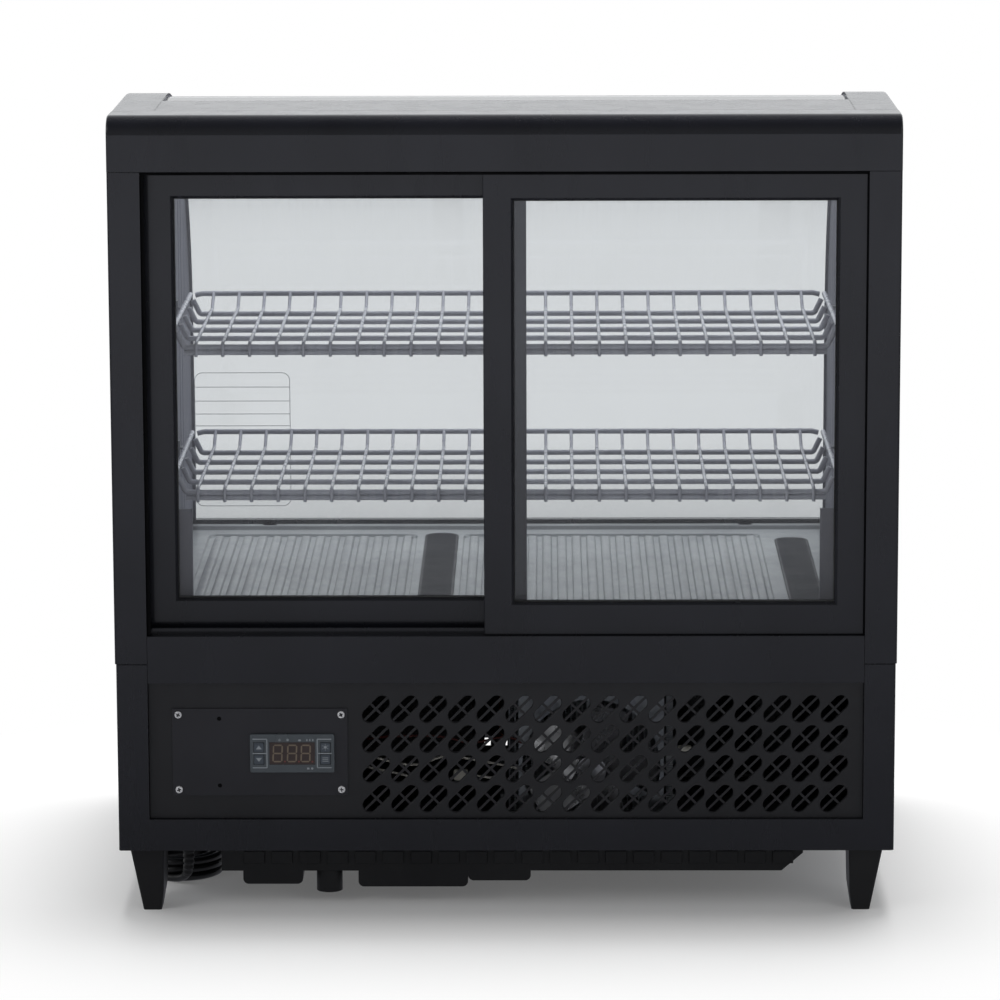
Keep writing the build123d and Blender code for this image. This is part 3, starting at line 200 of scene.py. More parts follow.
coatedLooks = {
    "black_paint": {
        "light": screenColour(26, 27, 34), "dark": screenColour(20, 21, 27), "rough": (0.25, 0.31),
        "grain": 420.0, "grainDepth": 0.00001, "edge": 0.0012, "dust": 0.02, "shine": 0.30, "coat": 0.35,
    },
    "black_extrusion": {
        "light": screenColour(25, 26, 33), "dark": screenColour(18, 19, 25), "rough": (0.24, 0.30),
        "grain": 900.0, "grainDepth": 0.000006, "edge": 0.0008, "dust": 0.02, "shine": 0.30, "coat": 0.35,
        "brush": (700.0, 700.0, 5.0), "brushDepth": 0.000004,
    },
    "plate_paint": {
        "light": screenColour(41, 41, 46), "dark": screenColour(34, 34, 39), "rough": (0.30, 0.38),
        "grain": 420.0, "grainDepth": 0.00001, "edge": 0.0008, "dust": 0.02, "shine": 0.35,
    },
    "black_plastic": {
        "light": screenColour(30, 30, 31), "dark": screenColour(20, 20, 22), "rough": (0.42, 0.58),
        "grain": 1300.0, "grainDepth": 0.00012, "edge": 0.0010, "dust": 0.08, "shine": 0.35,
    },
    "panel_plastic": {
        "light": screenColour(33, 33, 36), "dark": screenColour(25, 25, 28), "rough": (0.34, 0.48),
        "grain": 1500.0, "grainDepth": 0.00008, "edge": 0.0007, "dust": 0.06, "shine": 0.42,
    },
    "gloss_black": {
        "light": screenColour(76, 82, 87), "dark": screenColour(66, 72, 78), "rough": (0.20, 0.32),
        "grain": 700.0, "grainDepth": 0.00002, "edge": 0.0008, "dust": 0.03, "shine": 0.4,
    },
    "key_plastic": {
        "light": screenColour(66, 74, 84), "dark": screenColour(56, 64, 74), "rough": (0.36, 0.5),
        "grain": 1500.0, "grainDepth": 0.00006, "edge": 0.0005, "dust": 0.03,
    },
    "screw_steel": {
        "light": screenColour(232, 232, 234), "dark": screenColour(200, 200, 205), "rough": (0.22, 0.38),
        "metal": 0.25, "grain": 2500.0, "grainDepth": 0.00003, "edge": 0.0003, "dust": 0.02,
    },
    "liner_plastic": {
        "light": screenColour(132, 133, 146), "dark": screenColour(112, 113, 125), "rough": (0.38, 0.52),
        "grain": 800.0, "grainDepth": 0.00005, "edge": 0.0010, "dust": 0.02,
        "rubTone": screenColour(170, 170, 176),
    },
    "deck_plastic": {
        "light": screenColour(157, 160, 162), "dark": screenColour(138, 141, 144), "rough": (0.34, 0.50),
        "grain": 900.0, "grainDepth": 0.00005, "edge": 0.0008, "dust": 0.03,
        "rubTone": screenColour(205, 208, 210),
    },
    "vent_plastic": {
        "light": screenColour(44, 44, 49), "dark": screenColour(32, 32, 36), "rough": (0.40, 0.55),
        "grain": 1300.0, "grainDepth": 0.00007, "edge": 0.0006, "dust": 0.05,
    },
    "rubber_black": {
        "light": screenColour(34, 34, 35), "dark": screenColour(23, 23, 24), "rough": (0.55, 0.75),
        "grain": 1800.0, "grainDepth": 0.00010, "edge": 0.0008, "dust": 0.10, "sheen": 0.15,
    },
    "seal_grey": {
        "light": screenColour(104, 104, 114), "dark": screenColour(88, 88, 97), "rough": (0.5, 0.68),
        "grain": 1700.0, "grainDepth": 0.00006, "edge": 0.0006, "dust": 0.04,
    },
    "corner_strip": {
        "light": screenColour(104, 102, 111), "dark": screenColour(90, 88, 96), "rough": (0.36, 0.5),
        "grain": 1500.0, "grainDepth": 0.00004, "edge": 0.0006, "dust": 0.03,
    },
    "coated_wire": {
        "light": screenColour(176, 177, 186), "dark": screenColour(146, 147, 157), "rough": (0.24, 0.40),
        "grain": 700.0, "grainDepth": 0.00010, "dust": 0.03, "coat": 0.35,
    },
    "standard_metal": {
        "light": screenColour(168, 170, 174), "dark": screenColour(140, 142, 148), "rough": (0.30, 0.44),
        "metal": 0.8, "grain": 1200.0, "grainDepth": 0.00003, "edge": 0.0005, "dust": 0.02,
        "brush": (700.0, 700.0, 12.0), "brushDepth": 0.00002,
    },
    "compressor_paint": {
        "light": screenColour(36, 36, 38), "dark": screenColour(24, 24, 26), "rough": (0.24, 0.40),
        "grain": 260.0, "grainDepth": 0.00020, "edge": 0.0012, "dust": 0.14, "coat": 0.3,
    },
    "fan_blade": {
        "light": screenColour(186, 187, 190), "dark": screenColour(160, 161, 166), "rough": (0.26, 0.42),
        "metal": 0.85, "grain": 900.0, "grainDepth": 0.00004, "edge": 0.0006, "dust": 0.08,
    },
    "fan_plastic": {
        "light": screenColour(40, 40, 42), "dark": screenColour(28, 28, 30), "rough": (0.40, 0.54),
        "grain": 1300.0, "grainDepth": 0.00007, "edge": 0.0006, "dust": 0.10,
    },
    "cord_pvc": {
        "light": screenColour(30, 30, 31), "dark": screenColour(21, 21, 22), "rough": (0.34, 0.46),
        "grain": 1600.0, "grainDepth": 0.00007, "dust": 0.04,
    },
    "pin_brass": {
        "light": screenColour(204, 196, 178), "dark": screenColour(176, 166, 146), "rough": (0.20, 0.34),
        "metal": 1.0, "grain": 2200.0, "grainDepth": 0.00003, "edge": 0.0004, "dust": 0.0,
        "brush": (200.0, 8.0, 200.0), "brushDepth": 0.00002,
    },
    "nylon": {
        "light": screenColour(222, 220, 212), "dark": screenColour(202, 199, 190), "rough": (0.34, 0.48),
        "grain": 1200.0, "grainDepth": 0.00004, "edge": 0.0004, "dust": 0.03,
    },
    "copper": {
        "light": screenColour(214, 138, 100), "dark": screenColour(150, 88, 62), "rough": (0.24, 0.46),
        "metal": 1.0, "mottle": 60.0, "grain": 900.0, "grainDepth": 0.00004, "dust": 0.03,
    },
    "light_diffuser": {
        "light": screenColour(232, 234, 236), "dark": screenColour(218, 221, 224), "rough": (0.44, 0.58),
        "grain": 1800.0, "grainDepth": 0.00006, "edge": 0.0006, "dust": 0.02,
    },
}
materials = {name: coatedFinish(name, look) for name, look in coatedLooks.items()}


galvanisedLook = {
    "light": screenColour(178, 182, 186), "dark": screenColour(138, 142, 148),
    "spangle": 90.0, "rough": (0.26, 0.5),
}


def galvanisedFinish(name, look):
    # zinc spangle: cells of a Voronoi pattern, each with its own tone and gloss
    material, tree, shader = makeMaterial(name, {"Metallic": 0.9})
    plain = placeOn(tree)
    wobble = addNode(tree, "ShaderNodeTexNoise", {"Vector": plain, "Scale": 60.0, "Detail": 2.0})
    bent = vectors(tree, "MULTIPLY_ADD", wobble.outputs["Color"], (0.006, 0.006, 0.006), plain)
    cells = addNode(tree, "ShaderNodeTexVoronoi", {"Vector": bent, "Scale": look["spangle"]}).outputs["Color"]
    tone = addNode(tree, "ShaderNodeSeparateXYZ", {"Vector": cells}).outputs["X"]
    tree.links.new(blendColour(tree, tone, look["dark"], look["light"]), shader.inputs["Base Color"])
    tree.links.new(spread(tree, tone, 0.0, 1.0, *look["rough"]), shader.inputs["Roughness"])
    tree.links.new(bumpFrom(tree, tone, 0.00003), shader.inputs["Normal"])
    return material


finLook = {"light": screenColour(205, 208, 212), "dark": screenColour(120, 124, 130)}


def finFinish(name, look):
    # rolled fin stock: fine ripple lines across the fin, dull patches, dust between the fins
    material, tree, shader = makeMaterial(name, {"Metallic": 0.85})
    waves = addNode(
        tree, "ShaderNodeTexWave", {"Vector": placeOn(tree), "Scale": 160.0, "Distortion": 0.3},
        wave_type="BANDS", bands_direction="Z",
    ).outputs["Fac"]
    patches = noiseOf(tree, placeOn(tree), 38.0, 4.0, 0.6)
    tone = spread(tree, patches, 0.35, 0.65, 0.0, 1.0)
    tree.links.new(blendColour(tree, tone, look["dark"], look["light"]), shader.inputs["Base Color"])
    tree.links.new(spread(tree, patches, 0.3, 0.7, 0.28, 0.46), shader.inputs["Roughness"])
    tree.links.new(bumpFrom(tree, waves, 0.0002), shader.inputs["Normal"])
    return material


foamLooks = {
    "foam": {"light": screenColour(226, 214, 170), "dark": screenColour(206, 188, 136)},
    "dark_foam": {"light": screenColour(25, 25, 27), "dark": screenColour(16, 16, 18)},       # the tub
    "faced_foam": {"light": screenColour(58, 58, 62), "dark": screenColour(46, 46, 50)},      # the deck
}


def foamFinish(name, look):
    # poured insulation: open cells as small pits, and darker skin in slow patches
    material, tree, shader = makeMaterial(name, {"Subsurface Weight": 0.1, "Subsurface Scale": 0.004})
    cells = addNode(tree, "ShaderNodeTexVoronoi", {"Vector": placeOn(tree), "Scale": 520.0})
    cells = cells.outputs["Distance"]
    patches = noiseOf(tree, placeOn(tree), 22.0, 4.0, 0.6)
    tree.links.new(blendColour(tree, patches, look["dark"], look["light"]), shader.inputs["Base Color"])
    tree.links.new(spread(tree, cells, 0.0, 0.6, 0.7, 0.95), shader.inputs["Roughness"])
    tree.links.new(bumpFrom(tree, cells, 0.0006), shader.inputs["Normal"])
    return material


glassLooks = {
    "clear_glass": {"tint": (0.903, 0.912, 0.917, 1), "film": 0.022, "mirror": 1.0, "smear": (2.0, 2.0, 0.5)},
    "curved_glass": {"tint": (0.906, 0.915, 0.919, 1), "film": 0.015, "mirror": 1.0,
                     "foot": (0.270, 0.345, 0.86, 1.0), "smear": (1.0, 3.0, 0.7)},
}


def glassFinish(name, look):
    # each face of a pane mirrors by its Fresnel share and passes the rest with a slight tint, and the curved
    # glass passes less towards its foot; wiping leaves a thin pale film in slow strokes
    material, tree, shader = makeMaterial(name, {"Roughness": 0.6, "Base Color": screenColour(228, 232, 234)})
    strokes = noiseOf(tree, placeOn(tree, look["smear"], (0, 12, 0)), 9.0, 4.0, 0.62)
    film = spread(tree, strokes, 0.46, 0.8, 0.004, look["film"])
    height = addNode(tree, "ShaderNodeSeparateXYZ", {"Vector": placeOn(tree)}).outputs["Z"]
    foot = spread(tree, height, *look.get("foot", (0.0, 1.0, 1.0, 1.0)))
    tinted = addNode(
        tree, "ShaderNodeVectorMath", {0: look["tint"][:3], "Scale": foot}, operation="SCALE"
    ).outputs["Vector"]
    clear = addNode(tree, "ShaderNodeBsdfTransparent", {"Color": tinted}).outputs[0]
    gloss = addNode(tree, "ShaderNodeBsdfGlossy", {"Color": (1, 1, 1, 1), "Roughness": 0.03}).outputs[0]
    share = addNode(tree, "ShaderNodeFresnel", {"IOR": 1.45}).outputs[0]
    share = sums(tree, "MULTIPLY", share, look["mirror"])
    pane = addNode(tree, "ShaderNodeMixShader", {0: share, 1: clear, 2: gloss}).outputs[0]
    wiped = addNode(tree, "ShaderNodeMixShader", {0: film, 1: pane, 2: shader.outputs[0]}).outputs[0]
    path = addNode(tree, "ShaderNodeLightPath")
    passing = sums(tree, "MAXIMUM", path.outputs["Is Shadow Ray"], path.outputs["Is Diffuse Ray"])
    bare = addNode(tree, "ShaderNodeBsdfTransparent", {"Color": look["tint"]}).outputs[0]
    out = addNode(tree, "ShaderNodeMixShader", {0: passing, 1: wiped, 2: bare}).outputs[0]
    tree.links.new(out, tree.nodes["Material Output"].inputs["Surface"])
    return material


windowLook = {"light": screenColour(58, 44, 40), "dark": screenColour(44, 33, 30)}


def windowFinish(name, look):
    # smoked cover of the display: warm dark plastic with a hard gloss and hairline scuffs
    sockets = {"Coat Weight": 0.5, "Coat Roughness": 0.06, "Specular IOR Level": 0.4}
    material, tree, shader = makeMaterial(name, sockets)
    tone = noiseOf(tree, placeOn(tree), 60.0, 3.0, 0.6)
    tree.links.new(blendColour(tree, tone, look["dark"], look["light"]), shader.inputs["Base Color"])
    scuffs = noiseOf(tree, placeOn(tree, (60, 60, 900), (0, 35, 0)), 2.0, 3.0, 0.6)
    tree.links.new(spread(tree, scuffs, 0.4, 0.8, 0.12, 0.3), shader.inputs["Roughness"])
    tree.links.new(bumpFrom(tree, scuffs, 0.00001), shader.inputs["Normal"])
    return material


for name, look in foamLooks.items():
    materials[name] = foamFinish(name, look)
for name, look in glassLooks.items():
    materials[name] = glassFinish(name, look)
materials["galvanised"] = galvanisedFinish("galvanised", galvanisedLook)
materials["fin_aluminium"] = finFinish("fin_aluminium", finLook)
materials["tinted_window"] = windowFinish("tinted_window", windowLook)
ownFinishes = {      # nodes that show another finish than their slot's
    "front_glass": "curved_glass", "evaporator_tub": "dark_foam", "control_plate": "plate_paint",
    "deck_foam": "faced_foam", "glass_seals": "seal_grey",
}


for name, part in nodes.items():
    for holder, slotName in zip(part.material_slots, slotNames[name]):
        holder.material = materials[slotName]
for name, finish in ownFinishes.items():
    nodes[name].material_slots[0].material = materials[finish]
print("finishes made:", len(materials))


studio = {
    "floor": (0.84, 0.84, 0.84, 1), "floorSeen": (0.97, 0.965, 0.96, 1),
    # painted shade in the floor's reflection: dim next to the case, brightening 4 m before it
    "paintedFloorGloss": (0.22, 0.98),     # how bright gloss sees the floor, near the case and 4 m before it
    "lift": 0.10,            # share of plain white in the floor at the case's edge
    "whiteFrom": 0.03, "whiteAt": 0.36,   # metres from the footprint, where the floor turns to plain white
    "footprint": (0.27, 0.20, 0.0),       # half sizes of the plan that keeps its shadow
    "sky": 0.30,             # the room as gloss and diffuse rays see it, towards the service side
    "bright": 1.05,          # the same, behind the customer side
    "zenith": 0.45,          # share of that left overhead
}
lamps = [
    {"name": "topLamp", "at": (0.1, 0.55, 3.0), "aim": (0, 0.1, 0.3), "size": 1.7, "watts": 96,
     "mirrored": False},
    {"name": "sideLamp", "at": (-2.4, -1.5, 1.9), "aim": (0, 0, 0.35), "size": 1.6, "watts": 13},
    {"name": "fillLamp", "at": (2.3, -2.2, 1.6), "aim": (0, 0, 0.3), "size": 1.8, "watts": 7},
]


def addRoom(look):
    # white for the camera and through glass; a soft gradient for gloss and diffuse rays
    world = bpy.data.worlds.new("room")
    bpy.context.scene.world = world
    world.use_nodes = True
    tree = world.node_tree
    tree.nodes.clear()
    towards = addNode(tree, "ShaderNodeTexCoord").outputs["Generated"]
    parts = addNode(tree, "ShaderNodeSeparateXYZ", {"Vector": towards})
    back = spread(tree, parts.outputs["Y"], -0.1, 0.75, look["sky"], look["bright"])
    above = spread(tree, parts.outputs["Z"], 0.25, 0.8, 1.0, look["zenith"])
    level = sums(tree, "MULTIPLY", back, above)
    cool = {"Color": (0.97, 0.985, 1.0, 1), "Strength": level}
    dim = addNode(tree, "ShaderNodeBackground", cool).outputs[0]
    white = addNode(tree, "ShaderNodeBackground", {"Color": (1, 1, 1, 1), "Strength": 1.0}).outputs[0]
    path = addNode(tree, "ShaderNodeLightPath")
    seen = sums(tree, "MAXIMUM", path.outputs["Is Camera Ray"], path.outputs["Is Transmission Ray"])
    mixed = addNode(tree, "ShaderNodeMixShader", {0: seen, 1: dim, 2: white}).outputs[0]
    out = addNode(tree, "ShaderNodeOutputWorld")
    tree.links.new(mixed, out.inputs["Surface"])


def addLamps(rows):
    for row in rows:
        lamp = bpy.data.lights.new(row["name"], "AREA")
        lamp.shape, lamp.size, lamp.energy = "DISK", row["size"], row["watts"]
        holder = bpy.data.objects.new(row["name"], lamp)
        bpy.context.scene.collection.objects.link(holder)
        holder.location = row["at"]
        holder.visible_glossy = row.get("mirrored", True)
        holder.rotation_mode = "QUATERNION"
        holder.rotation_quaternion = (Vector(row["aim"]) - Vector(row["at"])).to_track_quat("-Z", "Y")


def addFloor(look):
    # a wide level sheet: diffuse near the case, so that it keeps the shadow, and turning to plain white
    # away from it for camera and glass; gloss sees a painted brightness of its own, with painted shade near
    # the case that brightens towards -Y
    mesh = bpy.data.meshes.new("floor")
    mesh.from_pydata([(-14, -9, 0), (14, -9, 0), (14, 22, 0), (-14, 22, 0)], [], [(0, 1, 2, 3)])
    floor = bpy.data.objects.new("floor", mesh)
    bpy.context.scene.collection.objects.link(floor)
    material, tree, shader = makeMaterial("floorPaper", {"Base Color": look["floor"], "Roughness": 0.9})
    shader.inputs["Specular IOR Level"].default_value = 0.0
    path = addNode(tree, "ShaderNodeLightPath")
    seen = sums(tree, "MAXIMUM", path.outputs["Is Camera Ray"], path.outputs["Is Transmission Ray"])
    tree.links.new(blendColour(tree, seen, look["floor"], look["floorSeen"]), shader.inputs["Base Color"])
    place = placeOn(tree)
    beyond = vectors(tree, "SUBTRACT", vectors(tree, "ABSOLUTE", place), look["footprint"])
    beyond = vectors(tree, "MAXIMUM", beyond, (0, 0, 0))
    away = addNode(tree, "ShaderNodeVectorMath", {0: beyond}, operation="LENGTH").outputs["Value"]
    share = spread(tree, away, look["whiteFrom"], look["whiteAt"], look["lift"], 1.0)
    white = addNode(tree, "ShaderNodeEmission", {"Color": (1, 1, 1, 1), "Strength": 1.0}).outputs[0]
    lift = sums(tree, "MULTIPLY", seen, share)
    lit = addNode(tree, "ShaderNodeMixShader", {0: lift, 1: shader.outputs[0], 2: white}).outputs[0]
    # painted shade: glossy rays see an emission that is dim next to the case, standing in for its shadow in
    # reflections, and brighter further towards -Y
    along = addNode(tree, "ShaderNodeSeparateXYZ", {"Vector": place}).outputs["Y"]
    level = spread(tree, along, -0.3, -3.9, *look["paintedFloorGloss"])
    cool = {"Color": (0.89, 0.91, 1.0, 1), "Strength": level}
    mirrored = addNode(tree, "ShaderNodeEmission", cool).outputs[0]
    shares = {0: path.outputs["Is Glossy Ray"], 1: lit, 2: mirrored}
    both = addNode(tree, "ShaderNodeMixShader", shares).outputs[0]
    tree.links.new(both, tree.nodes["Material Output"].inputs["Surface"])
    mesh.materials.append(material)


addRoom(studio)
addLamps(lamps)
addFloor(studio)
bpy.context.scene.view_settings.view_transform = "Standard"
print("studio set")


def addPiece(name, points, faces, material, body="cabinet", smooth=True, slot=None):
    mesh = bpy.data.meshes.new(name)
    mesh.from_pydata(np.asarray(points, float).tolist(), [], [tuple(face) for face in faces])
    mesh.validate()
    mesh.update()
    mesh.polygons.foreach_set("use_smooth", np.full(len(mesh.polygons), smooth))
    mesh.materials.append(material)
    piece = bpy.data.objects.new(name, mesh)
    bpy.context.scene.collection.objects.link(piece)
    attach(piece, body)
    return piece


halfDepth = 0.225      # metres, from the service side to the middle; the looks give depth from that side


def gridFaces(rows, columns, closed=False):
    # quads of a grid of points stored row by row; closed joins the last column to the first
    spans = columns if closed else columns - 1
    row, column = np.meshgrid(np.arange(rows - 1), np.arange(spans), indexing="ij")
    ahead = (column + 1) % columns
    near = [row * columns + column, row * columns + ahead]
    far = [(row + 1) * columns + ahead, (row + 1) * columns + column]
    return np.stack(near + far, -1).reshape(-1, 4).tolist()


def endFaces(rows, sides):
    # one flat face over each end of a tube of rings
    return [list(range(sides))[::-1], list(range((rows - 1) * sides, rows * sides))]


def ringJoin(rows, sides):
    # quads from the last ring of a tube to its first
    last = (rows - 1) * sides
    return [[last + i, last + (i + 1) % sides, (i + 1) % sides, i] for i in range(sides)]


def frameAlong(path):
    # unit tangents by central difference, then a side vector carried along with the least twist
    step = np.roll(path, -1, 0) - np.roll(path, 1, 0)
    step[0], step[-1] = path[1] - path[0], path[-1] - path[-2]
    tangent = step / np.linalg.norm(step, axis=1, keepdims=True)
    side = np.zeros_like(path)
    start = np.cross(tangent[0], (0.0, 0.0, 1.0))
    if np.linalg.norm(start) < 0.2:
        start = np.cross(tangent[0], (1.0, 0.0, 0.0))
    for index, along in enumerate(tangent):
        start = start - along * np.dot(start, along)
        start = start / np.linalg.norm(start)
        side[index] = start
    return tangent, side, np.cross(tangent, side)


def tubeAlong(path, radius, sides):
    # a ring of points round each path point: centre + radius (side cos a + up sin a)
    path = np.asarray(path, float)
    tangent, side, up = frameAlong(path)
    angle = np.linspace(0, 2 * math.pi, sides, endpoint=False)
    radius = np.broadcast_to(np.asarray(radius, float), (len(path),))[:, None, None]
    ring = side[:, None] * np.cos(angle)[None, :, None] + up[:, None] * np.sin(angle)[None, :, None]
    points = (path[:, None] + radius * ring).reshape(-1, 3)
    return points, gridFaces(len(path), sides, closed=True) + endFaces(len(path), sides)


def joinParts(parts):
    # several (points, faces) pairs as one
    points, faces, start = [], [], 0
    for somePoints, someFaces in parts:
        points.append(np.asarray(somePoints, float))
        faces += [[index + start for index in face] for face in someFaces]
        start += len(somePoints)
    return np.concatenate(points), faces


def outward(piece):
    # recalculates the normals of a closed piece so that they face out
    bpy.context.view_layer.objects.active = piece
    piece.select_set(True)
    bpy.ops.object.mode_set(mode="EDIT")
    bpy.ops.mesh.select_all(action="SELECT")
    bpy.ops.mesh.normals_make_consistent(inside=False)
    bpy.ops.object.mode_set(mode="OBJECT")
    piece.select_set(False)
    return piece


cordShape = {
    "radius": 0.0035,
    "length": 1.467,
    "lead": [(-285, -140, 36), (-285, -140, 22), (-287.5, -133, 9.5), (-296, -123, 3.9)],
    "tail": [(-322.6, -75, 22.5), (-321.5, -63, 27), (-319, -48, 26), (-315.5, -31, 14), (-310, -12, 5),
             (-301, 9, 3.8), (-290, 33, 3.9), (-281, 61, 3.7), (-272, 88, 3.9), (-267, 114, 5.5),
             (-263, 139, 9.5), (-263, 158, 9.5)],
    "centre": (-295.5, -83.0),
    "outer": 34.2,
    "inner": 27.1,
    "layer": 7.05,
    "startAngle": 243.4,     # degrees, where the lead meets the coil
    "turns": 6.176,
    "pointsPerTurn": 18,
}


def coilPoints(shape):
    # clockwise turns: bottom layer outer then inner, middle layer inner then outer, top layer outer then
    # inner. At a change of radius or layer the two neighbours trade places round a quarter circle
    count = int(shape["turns"] * shape["pointsPerTurn"]) + 1
    turn = np.linspace(0.0, shape["turns"], count)
    angle = np.radians(shape["startAngle"] - 360 * turn)
    wide, low = np.ones(count), np.zeros(count)
    moves = ((1.05, "wide", -1), (2.05, "low", 1), (3.05, "wide", 1), (4.05, "low", 1), (5.05, "wide", -1))
    for start, kind, direction in moves:
        share = np.clip((turn - start) / 0.2, 0, 1)
        if kind == "low":
            low = low + np.sin(share * math.pi / 2)
        elif direction < 0:
            wide = np.where(share > 0, np.cos(share * math.pi / 2), wide)
        else:
            wide = np.where(share > 0, 1 - np.cos(share * math.pi / 2), wide)
    radius = shape["inner"] + (shape["outer"] - shape["inner"]) * wide
    radius = radius / (0.75 + 0.25 * math.cos(2 * math.pi / shape["pointsPerTurn"]))
    height = 3.6 + shape["layer"] * low
    centre = shape["centre"]
    return np.stack([centre[0] + radius * np.cos(angle), centre[1] + radius * np.sin(angle), height], -1)


def addCord(shape):
    points = np.concatenate([shape["lead"], coilPoints(shape), shape["tail"]]) / 1000
    curve = bpy.data.curves.new("powerCord", "CURVE")
    curve.dimensions = "3D"
    spline = curve.splines.new("NURBS")
    spline.points.add(len(points) - 1)
    spline.points.foreach_set("co", np.column_stack([points, np.ones(len(points))]).ravel())
    spline.order_u = 3
    spline.use_endpoint_u = True
    spline.resolution_u = 4
    line = bpy.data.objects.new("powerCordLine", curve)
    centreMesh = bpy.data.meshes.new_from_object(line)
    route = np.zeros(len(centreMesh.vertices) * 3)
    centreMesh.vertices.foreach_get("co", route)
    bpy.data.objects.remove(line)
    bpy.data.meshes.remove(centreMesh)
    curve.bevel_depth = shape["radius"]
    curve.bevel_resolution = 4
    curve.use_fill_caps = True
    curve.materials.append(materials["cord_pvc"])
    cord = bpy.data.objects.new("powerCord", curve)
    bpy.context.scene.collection.objects.link(cord)
    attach(cord, "cabinet")
    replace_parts(cord, "power_cord", "power_cord_coil")
    return cord, route.reshape(-1, 3)


cord, cordRoute = addCord(cordShape)
cordLength = float(np.linalg.norm(np.diff(cordRoute, axis=0), axis=1).sum())
print("cord", round(cordLength, 3), "m, points", len(cordRoute))


reliefLook = {"length": 0.026, "thick": 0.0052, "thin": 0.0040, "ribs": 5, "ribDepth": 0.0006}


def addStrainRelief(look):
    # tube along the first stretch of the cord's line: radius falls evenly, with a sine for its ribs
    walked = np.concatenate([[0], np.cumsum(np.linalg.norm(np.diff(cordRoute, axis=0), axis=1))])
    along = np.linspace(0.0, look["length"], 44)
    path = np.stack([np.interp(along, walked, cordRoute[:, axis]) for axis in range(3)], -1)
    share = along / look["length"]
    wave = np.clip(np.sin(share * look["ribs"] * 2 * math.pi), -0.6, 0.6) * (share < 0.92)
    radius = look["thick"] + (look["thin"] - look["thick"]) * share + look["ribDepth"] * wave
    points, faces = tubeAlong(path, radius, 20)
    return outward(addPiece("strainRelief", points, faces, materials["rubber_black"], slot="rubber_black"))


tieLook = {"angle": 62.0, "inner": 0.0232, "outer": 0.0382, "top": 0.0216, "width": 0.011, "thick": 0.0011}


def addCoilTie(look):
    # strap round the coil's section: a rounded rectangle in the radial plane, carried across its width
    centre = np.array(cordShape["centre"]) / 1000
    turn = np.linspace(0, 2 * math.pi, 48, endpoint=False)
    wide, tall = (look["outer"] - look["inner"]) / 2, look["top"] / 2
    power = 0.45
    ring = np.stack([
        (look["inner"] + look["outer"]) / 2 + wide * np.sign(np.cos(turn)) * np.abs(np.cos(turn)) ** power,
        tall + 0.0004 + tall * np.sign(np.sin(turn)) * np.abs(np.sin(turn)) ** power,
    ], -1)
    middle = ring.mean(0)
    shells = [middle + (ring - middle) * scale for scale in (1.0, 1.0 + look["thick"] / wide)]
    angle = math.radians(look["angle"])
    outwards = np.array([math.cos(angle), math.sin(angle)])
    across = np.array([-math.sin(angle), math.cos(angle)])
    rows = []
    for shell, offset in ((shells[0], -1), (shells[1], -1), (shells[1], 1), (shells[0], 1)):
        flat = centre + shell[:, :1] * outwards + offset * look["width"] / 2 * across
        rows.append(np.column_stack([flat, np.maximum(shell[:, 1], 0.0002)]))
    points = np.stack(rows, 1).reshape(-1, 3)
    faces = gridFaces(len(ring), 4, closed=True) + ringJoin(len(ring), 4)
    return outward(addPiece("coilTie", points, faces, materials["rubber_black"], slot="rubber_black"))


plugLook = {
    "x": -0.263, "start": 0.1582, "end": 0.1962, "wide": 0.0270, "tall": 0.0190, "ribs": 4,
    "ribDepth": 0.0009,
}


def addPlugBody(look):
    # superellipse sections along Y: a narrow collar at the cord, swelling to the face, with grip ribs
    rows, sides = 46, 48
    share = np.linspace(0, 1, rows)
    swell = 0.40 + 0.60 * np.clip(share / 0.42, 0, 1) ** 0.7
    ribbed = (share > 0.38) & (share < 0.80)
    grip = np.where(ribbed, np.sin((share - 0.38) / 0.42 * look["ribs"] * 2 * math.pi), 0)
    rounding = np.where(share > 0.96, 1 - 0.06 * ((share - 0.96) / 0.04) ** 2, 1.0)
    wide = (look["wide"] / 2 * swell - look["ribDepth"] * np.clip(grip, 0, 1)) * rounding
    tall = look["tall"] / 2 * swell * rounding
    turn = np.linspace(0, 2 * math.pi, sides, endpoint=False)
    power = (0.95 - 0.45 * np.clip(share / 0.4, 0, 1))[:, None]
    x = look["x"] + wide[:, None] * np.sign(np.cos(turn)) * np.abs(np.cos(turn)) ** power
    z = look["tall"] / 2 + tall[:, None] * np.sign(np.sin(turn)) * np.abs(np.sin(turn)) ** power
    y = np.broadcast_to((look["start"] + (look["end"] - look["start"]) * share)[:, None], x.shape)
    points = np.stack([x, y, z], -1).reshape(-1, 3)
    faces = gridFaces(rows, sides, closed=True) + endFaces(rows, sides)
    piece = outward(addPiece("plugBody", points, faces, materials["cord_pvc"], slot="cord_pvc"))
    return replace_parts(piece, "plug")


strainRelief = addStrainRelief(reliefLook)
coilTie = addCoilTie(tieLook)
plugBody = addPlugBody(plugLook)
print("cord pieces made")


deckLook = {
    "x": (-0.3027, 0.3027), "depth": (0.0483, 0.4315), "top": 0.2630,
    "fields": [(-0.2808, 14), (-0.0388, 20)],     # first x and number of ribs
    "pitch": 0.01375, "ribWidth": 0.0086, "ribRise": 0.0028, "sink": 0.0026,
    "fieldDepth": (0.062, 0.3995), "ribDepth": (0.0665, 0.3930), "corner": 0.010,
    "vents": [(-0.0632, 0.060, 0.404), (0.2665, 0.060, 0.380)], "ventWidth": 0.0315, "ventFloor": 0.2600,
    "ledge": 0.4212, "ledgeRise": 0.0040, "soft": 0.0007,
    "margin": (0.0035, 0.0015), "firstRib": 0.0022,      # sunk field's edges and first rib, from the first x
}


def softStep(value, soft):
    # 0 outside to 1 inside over a width of soft, with level ends
    share = np.clip(value / soft + 0.5, 0, 1)
    return share * share * (3 - 2 * share)


